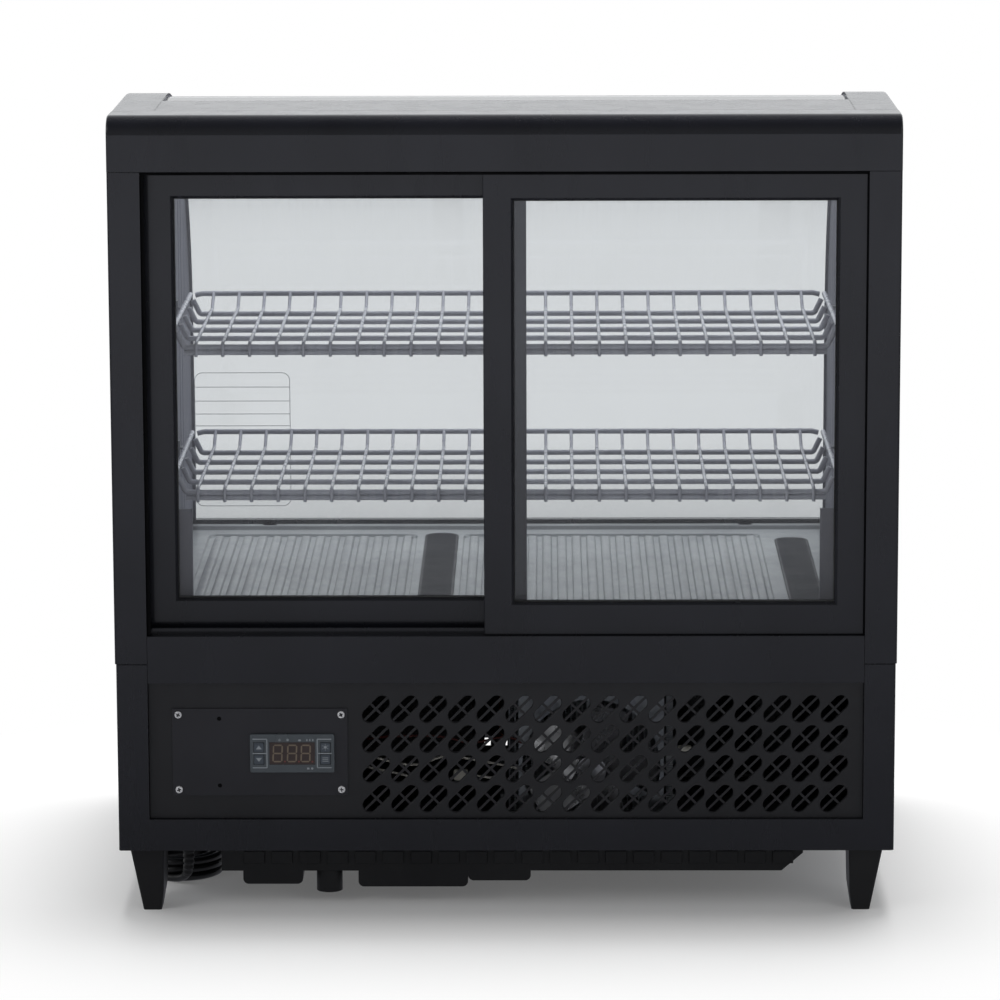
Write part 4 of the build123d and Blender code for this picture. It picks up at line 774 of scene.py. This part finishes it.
def roundedBoxDistance(x, y, x0, x1, y0, y1, corner):
    # signed distance to a box with round corners, negative inside
    dx = np.abs(x - (x0 + x1) / 2) - (x1 - x0) / 2 + corner
    dy = np.abs(y - (y0 + y1) / 2) - (y1 - y0) / 2 + corner
    return np.hypot(np.maximum(dx, 0), np.maximum(dy, 0)) + np.minimum(np.maximum(dx, dy), 0) - corner


def addDeckPressing(look):
    # height over the deck's plan: sunk fields with round corners, ribs with round ends standing in them,
    # wells under the two vents, and a raised ledge along the customer side
    soft, half = look["soft"], look["ribWidth"] / 2
    xs, ys = [np.linspace(*look["x"], 60)], [np.linspace(*look["depth"], 40)]
    near = np.array([-1.4, -0.7, -0.3, 0.3, 0.7, 1.4]) * soft
    ribs = []
    before, after = look["margin"]
    for first, count in look["fields"]:
        centres = first + half + look["firstRib"] + np.arange(count) * look["pitch"]
        ribs.append(centres)
        xs += [(centres[:, None] + side * half + near).ravel() for side in (-1, 1)]
        edges = (first - before, first + count * look["pitch"] + after)
        xs += [edge + near for edge in edges]
    for depth in (*look["fieldDepth"], look["ledge"]):
        ys.append(depth + near)
    for depth, way in ((look["ribDepth"][0], 1), (look["ribDepth"][1], -1)):
        ys.append(depth + way * np.linspace(-0.001, half + 0.001, 9))
    for x, start, end in look["vents"]:
        xs += [x + side * (look["ventWidth"] / 2 + near) for side in (-1, 1)]
        xs += [x + np.linspace(-0.014, 0.014, 9)]
        for depth, way in ((start, 1), (end, -1)):
            ys.append(depth + way * np.linspace(-0.001, 0.016, 15))
    xs, ys = np.unique(np.concatenate(xs).round(5)), np.unique(np.concatenate(ys).round(5))
    xs = xs[(xs >= look["x"][0]) & (xs <= look["x"][1])]
    ys = ys[(ys >= look["depth"][0]) & (ys <= look["depth"][1])]
    y, x = np.meshgrid(ys, xs, indexing="ij")
    z = np.full(x.shape, look["top"])
    for (first, count), centres in zip(look["fields"], ribs):
        inside = roundedBoxDistance(
            x, y, first - before, first + count * look["pitch"] + after, *look["fieldDepth"], look["corner"])
        z -= look["sink"] * softStep(-inside, soft)
        middle = centres[np.argmin(np.abs(x[..., None] - centres), axis=-1)]
        along = np.clip(y, look["ribDepth"][0] + half, look["ribDepth"][1] - half)
        rib = np.hypot(x - middle, y - along) - half
        z += look["ribRise"] * softStep(-rib - soft * 0.4, soft * 2.2) * softStep(-inside, soft)
    for vx, start, end in look["vents"]:
        radius = look["ventWidth"] / 2
        along = np.clip(y, start + radius, end - radius)
        hole = np.hypot(x - vx, y - along) - radius
        z = z + (look["ventFloor"] - z) * softStep(-hole, soft * 0.25)
    z += look["ledgeRise"] * softStep(y - look["ledge"], soft)
    points = np.stack([x, y - halfDepth, z], -1).reshape(-1, 3)
    faces = gridFaces(len(ys), len(xs))
    piece = addPiece("deckPressing", points, faces, materials["deck_plastic"], slot="deck_plastic")
    wall = piece.modifiers.new("wall", "SOLIDIFY")
    wall.thickness, wall.offset = 0.0012, -1.0
    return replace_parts(piece, "deck_tray")


deckPressing = addDeckPressing(deckLook)
print("deck pressing made", len(deckPressing.data.polygons))


def prismOf(outline, start, end):
    # a flat outline of (x, z) points carried along Y between two planes
    outline = np.asarray(outline, float)
    count = len(outline)
    layers = []
    for level in (start, end):
        flat = np.full((count, 3), level)
        flat[:, 0], flat[:, 2] = outline[:, 0], outline[:, 1]
        layers.append(flat)
    faces = [list(range(count)), list(range(count, 2 * count))[::-1]]
    faces += [[i, (i + 1) % count, (i + 1) % count + count, i + count] for i in range(count)]
    return np.concatenate(layers), faces


def barOutline(x0, x1, z0, z1):
    return [(x0, z0), (x1, z0), (x1, z1), (x0, z1)]


def discOutline(x, z, wide, tall, count=16):
    turn = np.linspace(0, 2 * math.pi, count, endpoint=False)
    return np.column_stack([x + wide * np.cos(turn), z + tall * np.sin(turn)])


def domeOf(centre, radius, height, facing, sides=14, rings=5):
    # a shallow cap: radius r cos t, height h sin t, closed by its back face
    facing = np.asarray(facing, float)
    side = np.cross(facing, (0, 0, 1) if abs(facing[2]) < 0.5 else (1, 0, 0))
    side = side / np.linalg.norm(side)
    up = np.cross(facing, side)
    tilt = np.linspace(0, math.pi / 2 * 0.96, rings)
    turn = np.linspace(0, 2 * math.pi, sides, endpoint=False)
    ring = side * np.cos(turn)[:, None] + up * np.sin(turn)[:, None]
    around = np.asarray(centre) + (radius * np.cos(tilt))[:, None, None] * ring
    points = around + (height * np.sin(tilt))[:, None, None] * facing
    return points.reshape(-1, 3), gridFaces(rings, sides, closed=True) + endFaces(rings, sides)


controllerLook = {
    "left": -0.2240, "top": 0.1606,       # the bezel's upper left corner
    "face": -0.22400, "window": -0.22390, "key": -0.22470, "print": 0.00004,
    "middle": 0.1433,                     # height of the display's middle line
    "digits": (-0.1997, -0.1871, -0.1752), "dots": (-0.1934, -0.1811, -0.1693),
    "keys": (-0.2161, -0.1579), "lampMark": 0.1490,
    "digitHeight": 0.0146, "digitWidth": 0.0076, "bar": 0.0013, "lean": 0.04,
}
printTones = {
    "printPale": ((140, 146, 152), (118, 124, 131), (0.5, 0.62)),
    "segmentDull": ((112, 98, 82), (92, 79, 66), (0.4, 0.52)),
    "lampRed": ((112, 42, 34), (84, 32, 26), (0.3, 0.42)),
}
for name, (light, dark, rough) in printTones.items():
    materials[name] = coatedFinish(name, {
        "light": screenColour(*light), "dark": screenColour(*dark), "rough": rough,
        "grain": 2200.0, "grainDepth": 0.00001, "dust": 0.0,
    })


def segmentBars(x, z, look):
    # seven slim six-cornered bars laid on the outline of an 8, leaning a little
    high, wide, bar = look["digitHeight"] / 2, look["digitWidth"] / 2, look["bar"] / 2
    lean = look["lean"]
    ends = [
        ((-wide, high), (wide, high)), ((-wide, 0), (wide, 0)), ((-wide, -high), (wide, -high)),
        ((-wide, 0), (-wide, high)), ((wide, 0), (wide, high)),
        ((-wide, -high), (-wide, 0)), ((wide, -high), (wide, 0)),
    ]
    outlines = []
    for (x0, z0), (x1, z1) in ends:
        start, end = np.array([x0, z0]), np.array([x1, z1])
        along = (end - start) / np.linalg.norm(end - start)
        across = np.array([-along[1], along[0]])
        cut = bar * 0.4
        tip, inset, rise = along * cut, along * (cut + bar), across * bar
        flat = np.array([
            start + tip, start + inset + rise, end - inset + rise,
            end - tip, end - inset - rise, start + inset - rise,
        ])
        flat[:, 0] += flat[:, 1] * lean
        outlines.append(flat + (x, z))
    return outlines


def addControllerFace(look):
    # thin printed shapes on the bezel, bars in the window, and marks on the four keys
    left, top, ink = look["left"], look["top"], look["print"]
    middle = look["middle"]
    digits = [shape for x in look["digits"] for shape in segmentBars(x, middle, look)]
    points, faces = joinParts([prismOf(shape, look["window"] - ink, look["window"]) for shape in digits])
    flat = {"smooth": False, "slot": "tinted_window"}
    pieces = [addPiece("displayDigits", points, faces, materials["segmentDull"], **flat)]
    dots = [discOutline(x, middle - 0.0073, 0.0008, 0.0008, 12) for x in look["dots"]]
    points, faces = joinParts([prismOf(shape, look["window"] - ink, look["window"]) for shape in dots])
    pieces.append(addPiece("displayDots", points, faces, materials["lampRed"], **flat))
    bars, half = [], 0.00045
    for side in (-1, 1):
        spine = left + (0.0149 if side < 0 else 0.0590)
        tip = left + (0.0024 if side < 0 else 0.0714)
        bars.append(barOutline(spine - half, spine + half, middle - 0.0128, middle + 0.0128))
        for z in (middle - 0.0128, middle, middle + 0.0128):
            bars.append(barOutline(min(spine, tip), max(spine, tip), z - half, z + half))
    # the small legends: two lamps, three strokes, a cross, a dash and a dot
    bars.append(discOutline(left + 0.0331, top - 0.0052, 0.0011, 0.0011))
    bars.append(discOutline(left + 0.0436, top - 0.0055, 0.0013, 0.0009))
    for step in range(3):
        start = left + 0.0495 + 0.0026 * step
        bars.append(barOutline(start, left + 0.0505 + 0.0026 * step, top - 0.0062, top - 0.0044))
    bars.append(barOutline(left + 0.0256, left + 0.0264, top - 0.0065, top - 0.0041))
    bars.append(barOutline(left + 0.0248, left + 0.0272, top - 0.0057, top - 0.0049))
    bars.append(barOutline(left + 0.0500, left + 0.0520, top - 0.0316, top - 0.0300))
    bars.append(discOutline(left + 0.0545, top - 0.0308, 0.0010, 0.0010))
    points, faces = joinParts([prismOf(shape, look["face"] - ink, look["face"]) for shape in bars])
    pieces.append(addPiece(
        "bezelPrint", points, faces, materials["printPale"], smooth=False, slot="gloss_black"))
    marks = {}
    upX, downX = look["keys"]
    marks["key_up"] = [[(upX - 0.0026, 0.1472), (upX + 0.0026, 0.1472), (upX, 0.1506)]]
    marks["key_down"] = [[(upX - 0.0026, 0.1394), (upX, 0.1360), (upX + 0.0026, 0.1394)]]
    centre = np.array([downX, look["lampMark"]])
    inner, outer = 0.0019, 0.0030
    rays = [discOutline(*centre, 0.0013, 0.0013)]
    for step in range(6):
        angle = math.radians(60 * step + 30)
        along = np.array([math.cos(angle), math.sin(angle)])
        across = np.array([-math.sin(angle), math.cos(angle)]) * 0.00025
        near, far = centre + along * inner, centre + along * outer
        rays.append([near - across, far - across, far + across, near + across])
    marks["key_lamp"] = rays
    levels = (0.1362, 0.1377, 0.1392)
    marks["key_set"] = [barOutline(downX - 0.0026, downX + 0.0026, z, z + 0.0006) for z in levels]
    for key, shapes in marks.items():
        points, faces = joinParts([prismOf(shape, look["key"] - ink, look["key"]) for shape in shapes])
        pieces.append(addPiece(
            key + "_mark", points, faces, materials["printPale"], body=key, smooth=False, slot="key_plastic"))
    return [outward(piece) for piece in pieces]


controllerFace = addControllerFace(controllerLook)
print("controller face made")


gasketLook = {"lip": 0.0009, "rise": 0.0016, "bite": 0.0060}


def beadRound(x0, x1, z0, z1, profile):
    # a profile of (inward, y) points carried round a rectangle with mitred corners
    profile = np.asarray(profile, float)
    corners = [(x0, z0, 1, 1), (x1, z0, -1, 1), (x1, z1, -1, -1), (x0, z1, 1, -1)]
    inward, y = profile.T
    rows = [np.column_stack([x + sx * inward, y, z + sz * inward]) for x, z, sx, sz in corners]
    return np.concatenate(rows), gridFaces(4, len(profile), closed=True) + ringJoin(4, len(profile))


def addGaskets(look):
    # both faces of each pane: a quarter-round lip in the corner between glass and frame
    made = []
    for door in ("door_left", "door_right"):
        low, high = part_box(door + "_glass")
        bite = look["bite"]
        x0, x1, z0, z1 = low.x + bite, high.x - bite, low.z + bite, high.z - bite
        turn = np.linspace(0, math.pi / 2, 6)
        parts = []
        for glassFace, way in ((low.y, -1), (high.y, 1)):
            curve = np.column_stack([look["lip"] * np.cos(turn), look["rise"] * np.sin(turn)])
            profile = [(0.0001, 0.00005 * way)] + [(u + 0.0001, (v + 0.00005) * way) for u, v in curve]
            parts.append(beadRound(x0, x1, z0, z1, [(u, glassFace + v) for u, v in profile]))
        points, faces = joinParts(parts)
        made.append(outward(addPiece(
            door + "_gasket", points, faces, materials["rubber_black"], body=door, slot="rubber_black")))
    return made


gaskets = addGaskets(gasketLook)
print("gaskets made")


weldLook = {
    "radius": 0.0024, "height": 0.0016, "pitch": 0.0235, "count": 24,
    "firstRod": 0.060, "rodPitch": 0.051, "rods": 5, "seat": 0.0022,
    "levels": {"shelf_upper": 0.494, "shelf_lower": 0.365},
}


def addWelds(look):
    # a small squashed ball where each depth wire crosses each rod: unit sphere grid times its three radii
    rodY = (look["firstRod"] + np.arange(look["rods"]) * look["rodPitch"]) - halfDepth
    rings, sides = 4, 6
    turn = np.linspace(0, 2 * math.pi, sides + 1)[:-1]
    lean, turn = np.meshgrid(np.linspace(0.2, math.pi - 0.2, rings), turn, indexing="ij")
    ball = np.stack([np.sin(lean) * np.cos(turn), np.sin(lean) * np.sin(turn), np.cos(lean)], -1)
    ball = ball.reshape(-1, 3) * (look["height"] * 1.15, look["radius"], look["height"] * 0.8)
    ballFaces = gridFaces(rings, sides, closed=True) + endFaces(rings, sides)
    made = []
    for shelf, height in look["levels"].items():
        wireX = (np.arange(look["count"]) - (look["count"] - 1) / 2) * look["pitch"]
        parts = [(ball + (x, y, height + look["seat"]), ballFaces) for x in wireX for y in rodY]
        points, faces = joinParts(parts)
        made.append(outward(addPiece(
            shelf + "_welds", points, faces, materials["coated_wire"], body=shelf, slot="coated_wire")))
    return made


welds = addWelds(weldLook)
print("welds made")


ventLook = {"level": 0.2635, "dip": 0.0018, "pitch": 0.0043, "border": 0.0022}


def addVentCovers(look, deck):
    # a dark grille in each deck opening: round-ended field, height dips in a raised cosine for every slot
    parts = []
    for vx, start, end in deck["vents"]:
        radius = deck["ventWidth"] / 2 - 0.0002
        rows = int((end - start) / look["pitch"] * 10)
        y = np.linspace(start + 0.0003, end - 0.0003, rows)
        along = np.clip(y, start + radius, end - radius)
        half = np.sqrt(np.maximum(radius ** 2 - (y - along) ** 2, 1e-10))
        share = np.array([-1, -0.96, -0.88, -0.82, -0.4, 0, 0.4, 0.82, 0.88, 0.96, 1])
        x = vx + half[:, None] * share
        inner = softStep(half[:, None] * (1 - np.abs(share)) - look["border"], 0.0006)
        inner = inner * softStep(np.minimum(y - start, end - y) - 0.006, 0.001)[:, None]
        slots = 0.5 - 0.5 * np.cos(2 * math.pi * (y - start) / look["pitch"])
        z = look["level"] - look["dip"] * inner * (slots ** 3)[:, None]
        points = np.stack([x, np.broadcast_to(y[:, None], x.shape) - halfDepth, z], -1).reshape(-1, 3)
        parts.append((points, gridFaces(rows, len(share))))
    points, faces = joinParts(parts)
    piece = addPiece("ventCovers", points, faces, materials["vent_plastic"], slot="vent_plastic")
    wall = piece.modifiers.new("wall", "SOLIDIFY")
    wall.thickness, wall.offset = 0.0010, -1.0
    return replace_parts(piece, "deck_vents")


ventCovers = addVentCovers(ventLook, deckLook)
print("vent covers made")


cornerLook = {
    "left": (-0.2875, -0.2750), "right": (0.2756, 0.2875), "y": -0.1765, "wall": 0.0012,
    "lip": 0.004, "low": 0.2635, "high": 0.3520,
}


def extrudeUp(outline, levels):
    # an outline of (x, y) points repeated at each level, closed at both ends
    outline = np.asarray(outline, float)
    count = len(outline)
    points = np.concatenate([np.column_stack([outline, np.full(count, z)]) for z in levels])
    return points, gridFaces(len(levels), count, closed=True) + endFaces(len(levels), count)


def addCornerGuards(look):
    # low folded guard on the deck behind each outer door stile: a flat face, and a return lip whose outer
    # corner is round and whose inner corner is sharp
    made = []
    y, wall = look["y"], look["wall"]
    turn = np.linspace(0, math.pi / 2, 6)
    for name in ("left", "right"):
        x0, x1 = look[name]
        inner, outer = (x1, x0) if name == "left" else (x0, x1)
        way = 1 if inner > outer else -1
        root = inner - way * wall
        rounded = [(root + way * wall * math.sin(a), y + wall - wall * math.cos(a)) for a in turn]
        sharp = [(root, y + wall)] * len(turn)
        lip = [(inner, y + look["lip"]), (root, y + look["lip"])]
        outline = [(outer, y)] + rounded + lip + sharp + [(outer, y + wall)]
        points, faces = extrudeUp(outline, np.linspace(look["low"], look["high"], 24))
        made.append(outward(addPiece(
            "cornerGuard_" + name, points, faces, materials["corner_strip"], smooth=False,
            slot="liner_plastic")))
    return made


sealLook = {
    "front": -0.2238, "back": -0.2197, "low": 0.2495, "high": 0.6540, "drop": 0.0026, "wide": 0.0034,
    "x": 0.3128, "inset": 0.0008,
}


def addDoorSeals(look):
    # three soft strips round the doors, top and both sides: rounded front edge carried along each side
    bulge = [(0.0, 0.0), (0.25, -0.10), (0.5, -0.13), (0.75, -0.10), (1.0, 0.0), (1.0, 1.0), (0.0, 1.0)]
    inset = look["inset"]
    thick = look["back"] - look["front"]
    depths = [look["front"] + inset + (thick - inset) * v for _, v in bulge]
    parts = []
    top = [(look["high"] - look["drop"] * u, y) for (u, _), y in zip(bulge, depths)]
    xs = np.linspace(-look["x"], look["x"], 30)
    rows = np.array([[(x, y, z) for z, y in top] for x in xs]).reshape(-1, 3)
    parts.append((rows, gridFaces(len(xs), len(top), closed=True) + endFaces(len(xs), len(top))))
    for way, wide in ((-1, look["wide"]), (1, look["wide"] * 0.35)):
        side = [(way * (look["x"] - wide * u), y) for (u, _), y in zip(bulge, depths)]
        parts.append(extrudeUp(side, np.linspace(look["low"], look["high"] - look["drop"] - 0.0002, 24)))
    points, faces = joinParts(parts)
    piece = addPiece("doorSeals", points, faces, materials["black_seal_and_painted_shade"], smooth=False, slot="rubber_black")
    return outward(piece)


# near-black and dull: the door seals and rail plugs have it as their own colour, and the plate's screw slots
# and spare holes use it as painted shade
materials["black_seal_and_painted_shade"] = coatedFinish("black_seal_and_painted_shade", {
    "light": screenColour(9, 9, 11), "dark": screenColour(4, 4, 6), "rough": (0.7, 0.9), "shine": 0.1,
    "grain": 1800.0, "grainDepth": 0.00008, "dust": 0.01,
})
cornerGuards = addCornerGuards(cornerLook)
doorSeals = addDoorSeals(sealLook)
print("guards and seals made")


railPlugLook = {
    "radius": 0.0052, "height": 0.0009, "level": 0.26725,
    "places": [(-0.2285, 0.2012), (0.2255, 0.2012)],
}


def addRailPlugs(look):
    # two shallow oval caps on the rail's ledge
    parts = []
    for x, y in look["places"]:
        points, faces = domeOf((0, 0, 0), look["radius"], look["height"], (0, 0, 1), 20, 5)
        parts.append((points * (1.35, 0.55, 1.0) + (x, y, look["level"]), faces))
    points, faces = joinParts(parts)
    return outward(addPiece("railPlugs", points, faces, materials["black_seal_and_painted_shade"], slot="rubber_black"))


deckScrewLook = {"radius": 0.0024, "height": 0.0007, "level": 0.26085, "places": [
    (-0.2745, 0.3905), (-0.0925, 0.3905), (-0.0325, 0.3905), (0.2310, 0.3830),
    (-0.2745, 0.0700), (-0.0925, 0.0700), (-0.0325, 0.0700), (0.2310, 0.0700),
]}


def addDeckScrews(look):
    # a low round head at each end of the two sunk fields
    parts = []
    for x, depth in look["places"]:
        place = (x, depth - halfDepth, look["level"])
        parts.append(domeOf(place, look["radius"], look["height"], (0, 0, 1), 12, 4))
    points, faces = joinParts(parts)
    return outward(addPiece("deckScrews", points, faces, materials["vent_plastic"], slot="vent_plastic"))


railPlugs = addRailPlugs(railPlugLook)
deckScrews = addDeckScrews(deckScrewLook)
print("plugs and screws made")


filmLook = {
    "x": (-0.3000, -0.2085), "z": (0.4126, 0.2830), "y": 0.2135, "thick": 0.00008,
    "corner": 0.008, "line": 0.0006, "rows": [0.3985, 0.3850, 0.3725, 0.3610],
}


def addFilmLabel(look):
    # outline of a round-cornered label with its dividing rules, as slim bars on the glass's inner face
    x0, x1 = look["x"]
    z1, z0 = look["z"]
    corner, line = look["corner"], look["line"]
    turn = np.linspace(0, 2 * math.pi, 48, endpoint=False)
    cx = np.where(np.cos(turn) > 0, x1 - corner, x0 + corner)
    cz = np.where(np.sin(turn) > 0, z1 - corner, z0 + corner)
    outer = np.column_stack([cx + corner * np.cos(turn), cz + corner * np.sin(turn)])
    inner = np.column_stack([cx + (corner - line) * np.cos(turn), cz + (corner - line) * np.sin(turn)])
    count, y = len(outer), look["y"]
    back = y - look["thick"]
    layers = []
    for ring, depth in ((outer, y), (inner, y), (inner, back), (outer, back)):
        layers.append(np.column_stack([ring[:, 0], np.full(count, depth), ring[:, 1]]))
    points = np.stack(layers, 1).reshape(-1, 3)
    parts = [(points, gridFaces(count, 4, closed=True) + ringJoin(count, 4))]
    for z in look["rows"]:
        parts.append(prismOf(barOutline(x0 + line, x1 - line, z - line / 2, z + line / 2), back, y))
    points, faces = joinParts(parts)
    piece = addPiece("filmLabel", points, faces, materials["film_line"], smooth=False, slot="clear_glass")
    return outward(piece)


materials["film_line"] = coatedFinish("film_line", {
    "light": screenColour(206, 209, 212), "dark": screenColour(190, 194, 198), "rough": (0.5, 0.7),
    "grain": 1800.0, "grainDepth": 0.00001, "dust": 0.0,
})
filmLabel = addFilmLabel(filmLook)
print("film label made")


wireLook = {"radius": 0.0011, "sides": 10}
wireRoutes = [
    ("wirePale", "wire_pale", [
        (-0.160, -0.155, 0.128), (-0.128, -0.196, 0.137), (-0.105, -0.199, 0.131), (-0.080, -0.198, 0.127),
        (-0.052, -0.196, 0.134), (-0.020, -0.190, 0.128), (0.012, -0.184, 0.120)]),
    ("wirePaleLow", "wire_pale", [
        (-0.160, -0.150, 0.122), (-0.120, -0.196, 0.124), (-0.090, -0.199, 0.118), (-0.062, -0.198, 0.110),
        (-0.040, -0.192, 0.116), (-0.010, -0.186, 0.112)]),
    ("wireRed", "wire_red", [
        (-0.160, -0.152, 0.134), (-0.110, -0.190, 0.150), (-0.060, -0.196, 0.152), (-0.030, -0.194, 0.146),
        (0.000, -0.190, 0.150), (0.020, -0.184, 0.140)]),
]
wireTones = (("wire_pale", (206, 204, 198), (180, 178, 172)), ("wire_red", (92, 34, 30), (66, 26, 24)))
for name, light, dark in wireTones:
    materials[name] = coatedFinish(name, {
        "light": screenColour(*light), "dark": screenColour(*dark), "rough": (0.35, 0.5),
        "grain": 1500.0, "grainDepth": 0.00004, "dust": 0.06,
    })


def addWires(rows, look):
    # round leads through a few guide points, smoothed with a Catmull-Rom curve
    made = []
    for name, finish, guides in rows:
        guides = np.array(guides)
        guides = np.vstack([2 * guides[0] - guides[1], guides, 2 * guides[-1] - guides[-2]])
        t = np.linspace(0, 1, 12, endpoint=False)[:, None]
        spans = []
        for a, b, c, d in zip(guides, guides[1:], guides[2:], guides[3:]):
            square, cube = 2 * a - 5 * b + 4 * c - d, 3 * b - a - 3 * c + d
            spans.append(0.5 * (2 * b + (c - a) * t + square * t ** 2 + cube * t ** 3))
        path = np.vstack(spans + [guides[-2:-1]])
        points, faces = tubeAlong(path, look["radius"], look["sides"])
        made.append(outward(addPiece(name, points, faces, materials[finish], slot="cord_pvc")))
    return made


connectorLook = {
    "size": (0.0065, 0.0040, 0.0048), "power": 0.35,
    "places": [(-0.040, -0.1935, 0.1170), (0.1570, -0.1900, 0.1375)],
}


def addConnectors(look):
    # small nylon housings: superellipsoid of the three half sizes
    def swell(value):
        return np.sign(value) * np.abs(value) ** look["power"]

    rings, sides = 9, 20
    turn = np.linspace(0, 2 * math.pi, sides, endpoint=False)
    lean, turn = np.meshgrid(np.linspace(0.12, math.pi - 0.12, rings), turn, indexing="ij")
    out = swell(np.sin(lean))
    shape = np.stack([out * swell(np.cos(turn)), out * swell(np.sin(turn)), swell(np.cos(lean))], -1)
    shape = shape.reshape(-1, 3)
    faces = gridFaces(rings, sides, closed=True) + endFaces(rings, sides)
    points, faces = joinParts([(shape * look["size"] + place, faces) for place in look["places"]])
    return outward(addPiece("connectors", points, faces, materials["nylon"], slot="nylon"))


wires = addWires(wireRoutes, wireLook)
connectors = addConnectors(connectorLook)
print("wires made")


plateLook = {
    "screws": [(-0.2865, 0.1104), (-0.2865, 0.1776), (-0.1440, 0.1104), (-0.1440, 0.1776)],
    "holes": [(-0.2507, 0.1140), (-0.2507, 0.1740)],
    "headFront": -0.2231, "plateFront": -0.2215, "arm": 0.0018, "armHalf": 0.0004, "hole": 0.0019,
}


def addPlateDetails(look):
    # a turned cross of painted shade on each screw head, standing for its recess, and discs of painted shade
    # at the mouths of the two spare holes
    parts = []
    for number, (x, z) in enumerate(look["screws"]):
        # painted shade: a dark cross standing for the screw's recess
        for angle in (20 + 35 * number, 110 + 35 * number):
            along = np.array([math.cos(math.radians(angle)), math.sin(math.radians(angle))])
            across = np.array([-along[1], along[0]]) * look["armHalf"]
            middle = np.array([x, z])
            ends = [middle - along * look["arm"], middle + along * look["arm"]]
            outline = [ends[0] - across, ends[1] - across, ends[1] + across, ends[0] + across]
            proud = 0.00004 * (1 + angle // 100)
            parts.append(prismOf(outline, look["headFront"] - proud, look["headFront"] + 0.0003))
    plate = look["plateFront"]
    for x, z in look["holes"]:
        # painted shade: a near-black disc at the mouth of each hole
        mouth = discOutline(x, z, look["hole"], look["hole"], 24)
        parts.append(prismOf(mouth, plate - 0.00005, plate + 0.0004))
    points, faces = joinParts(parts)
    piece = addPiece("plateDetails", points, faces, materials["black_seal_and_painted_shade"], smooth=False, slot="black_paint")
    return outward(piece)


plateDetails = addPlateDetails(plateLook)
print("plate details made")
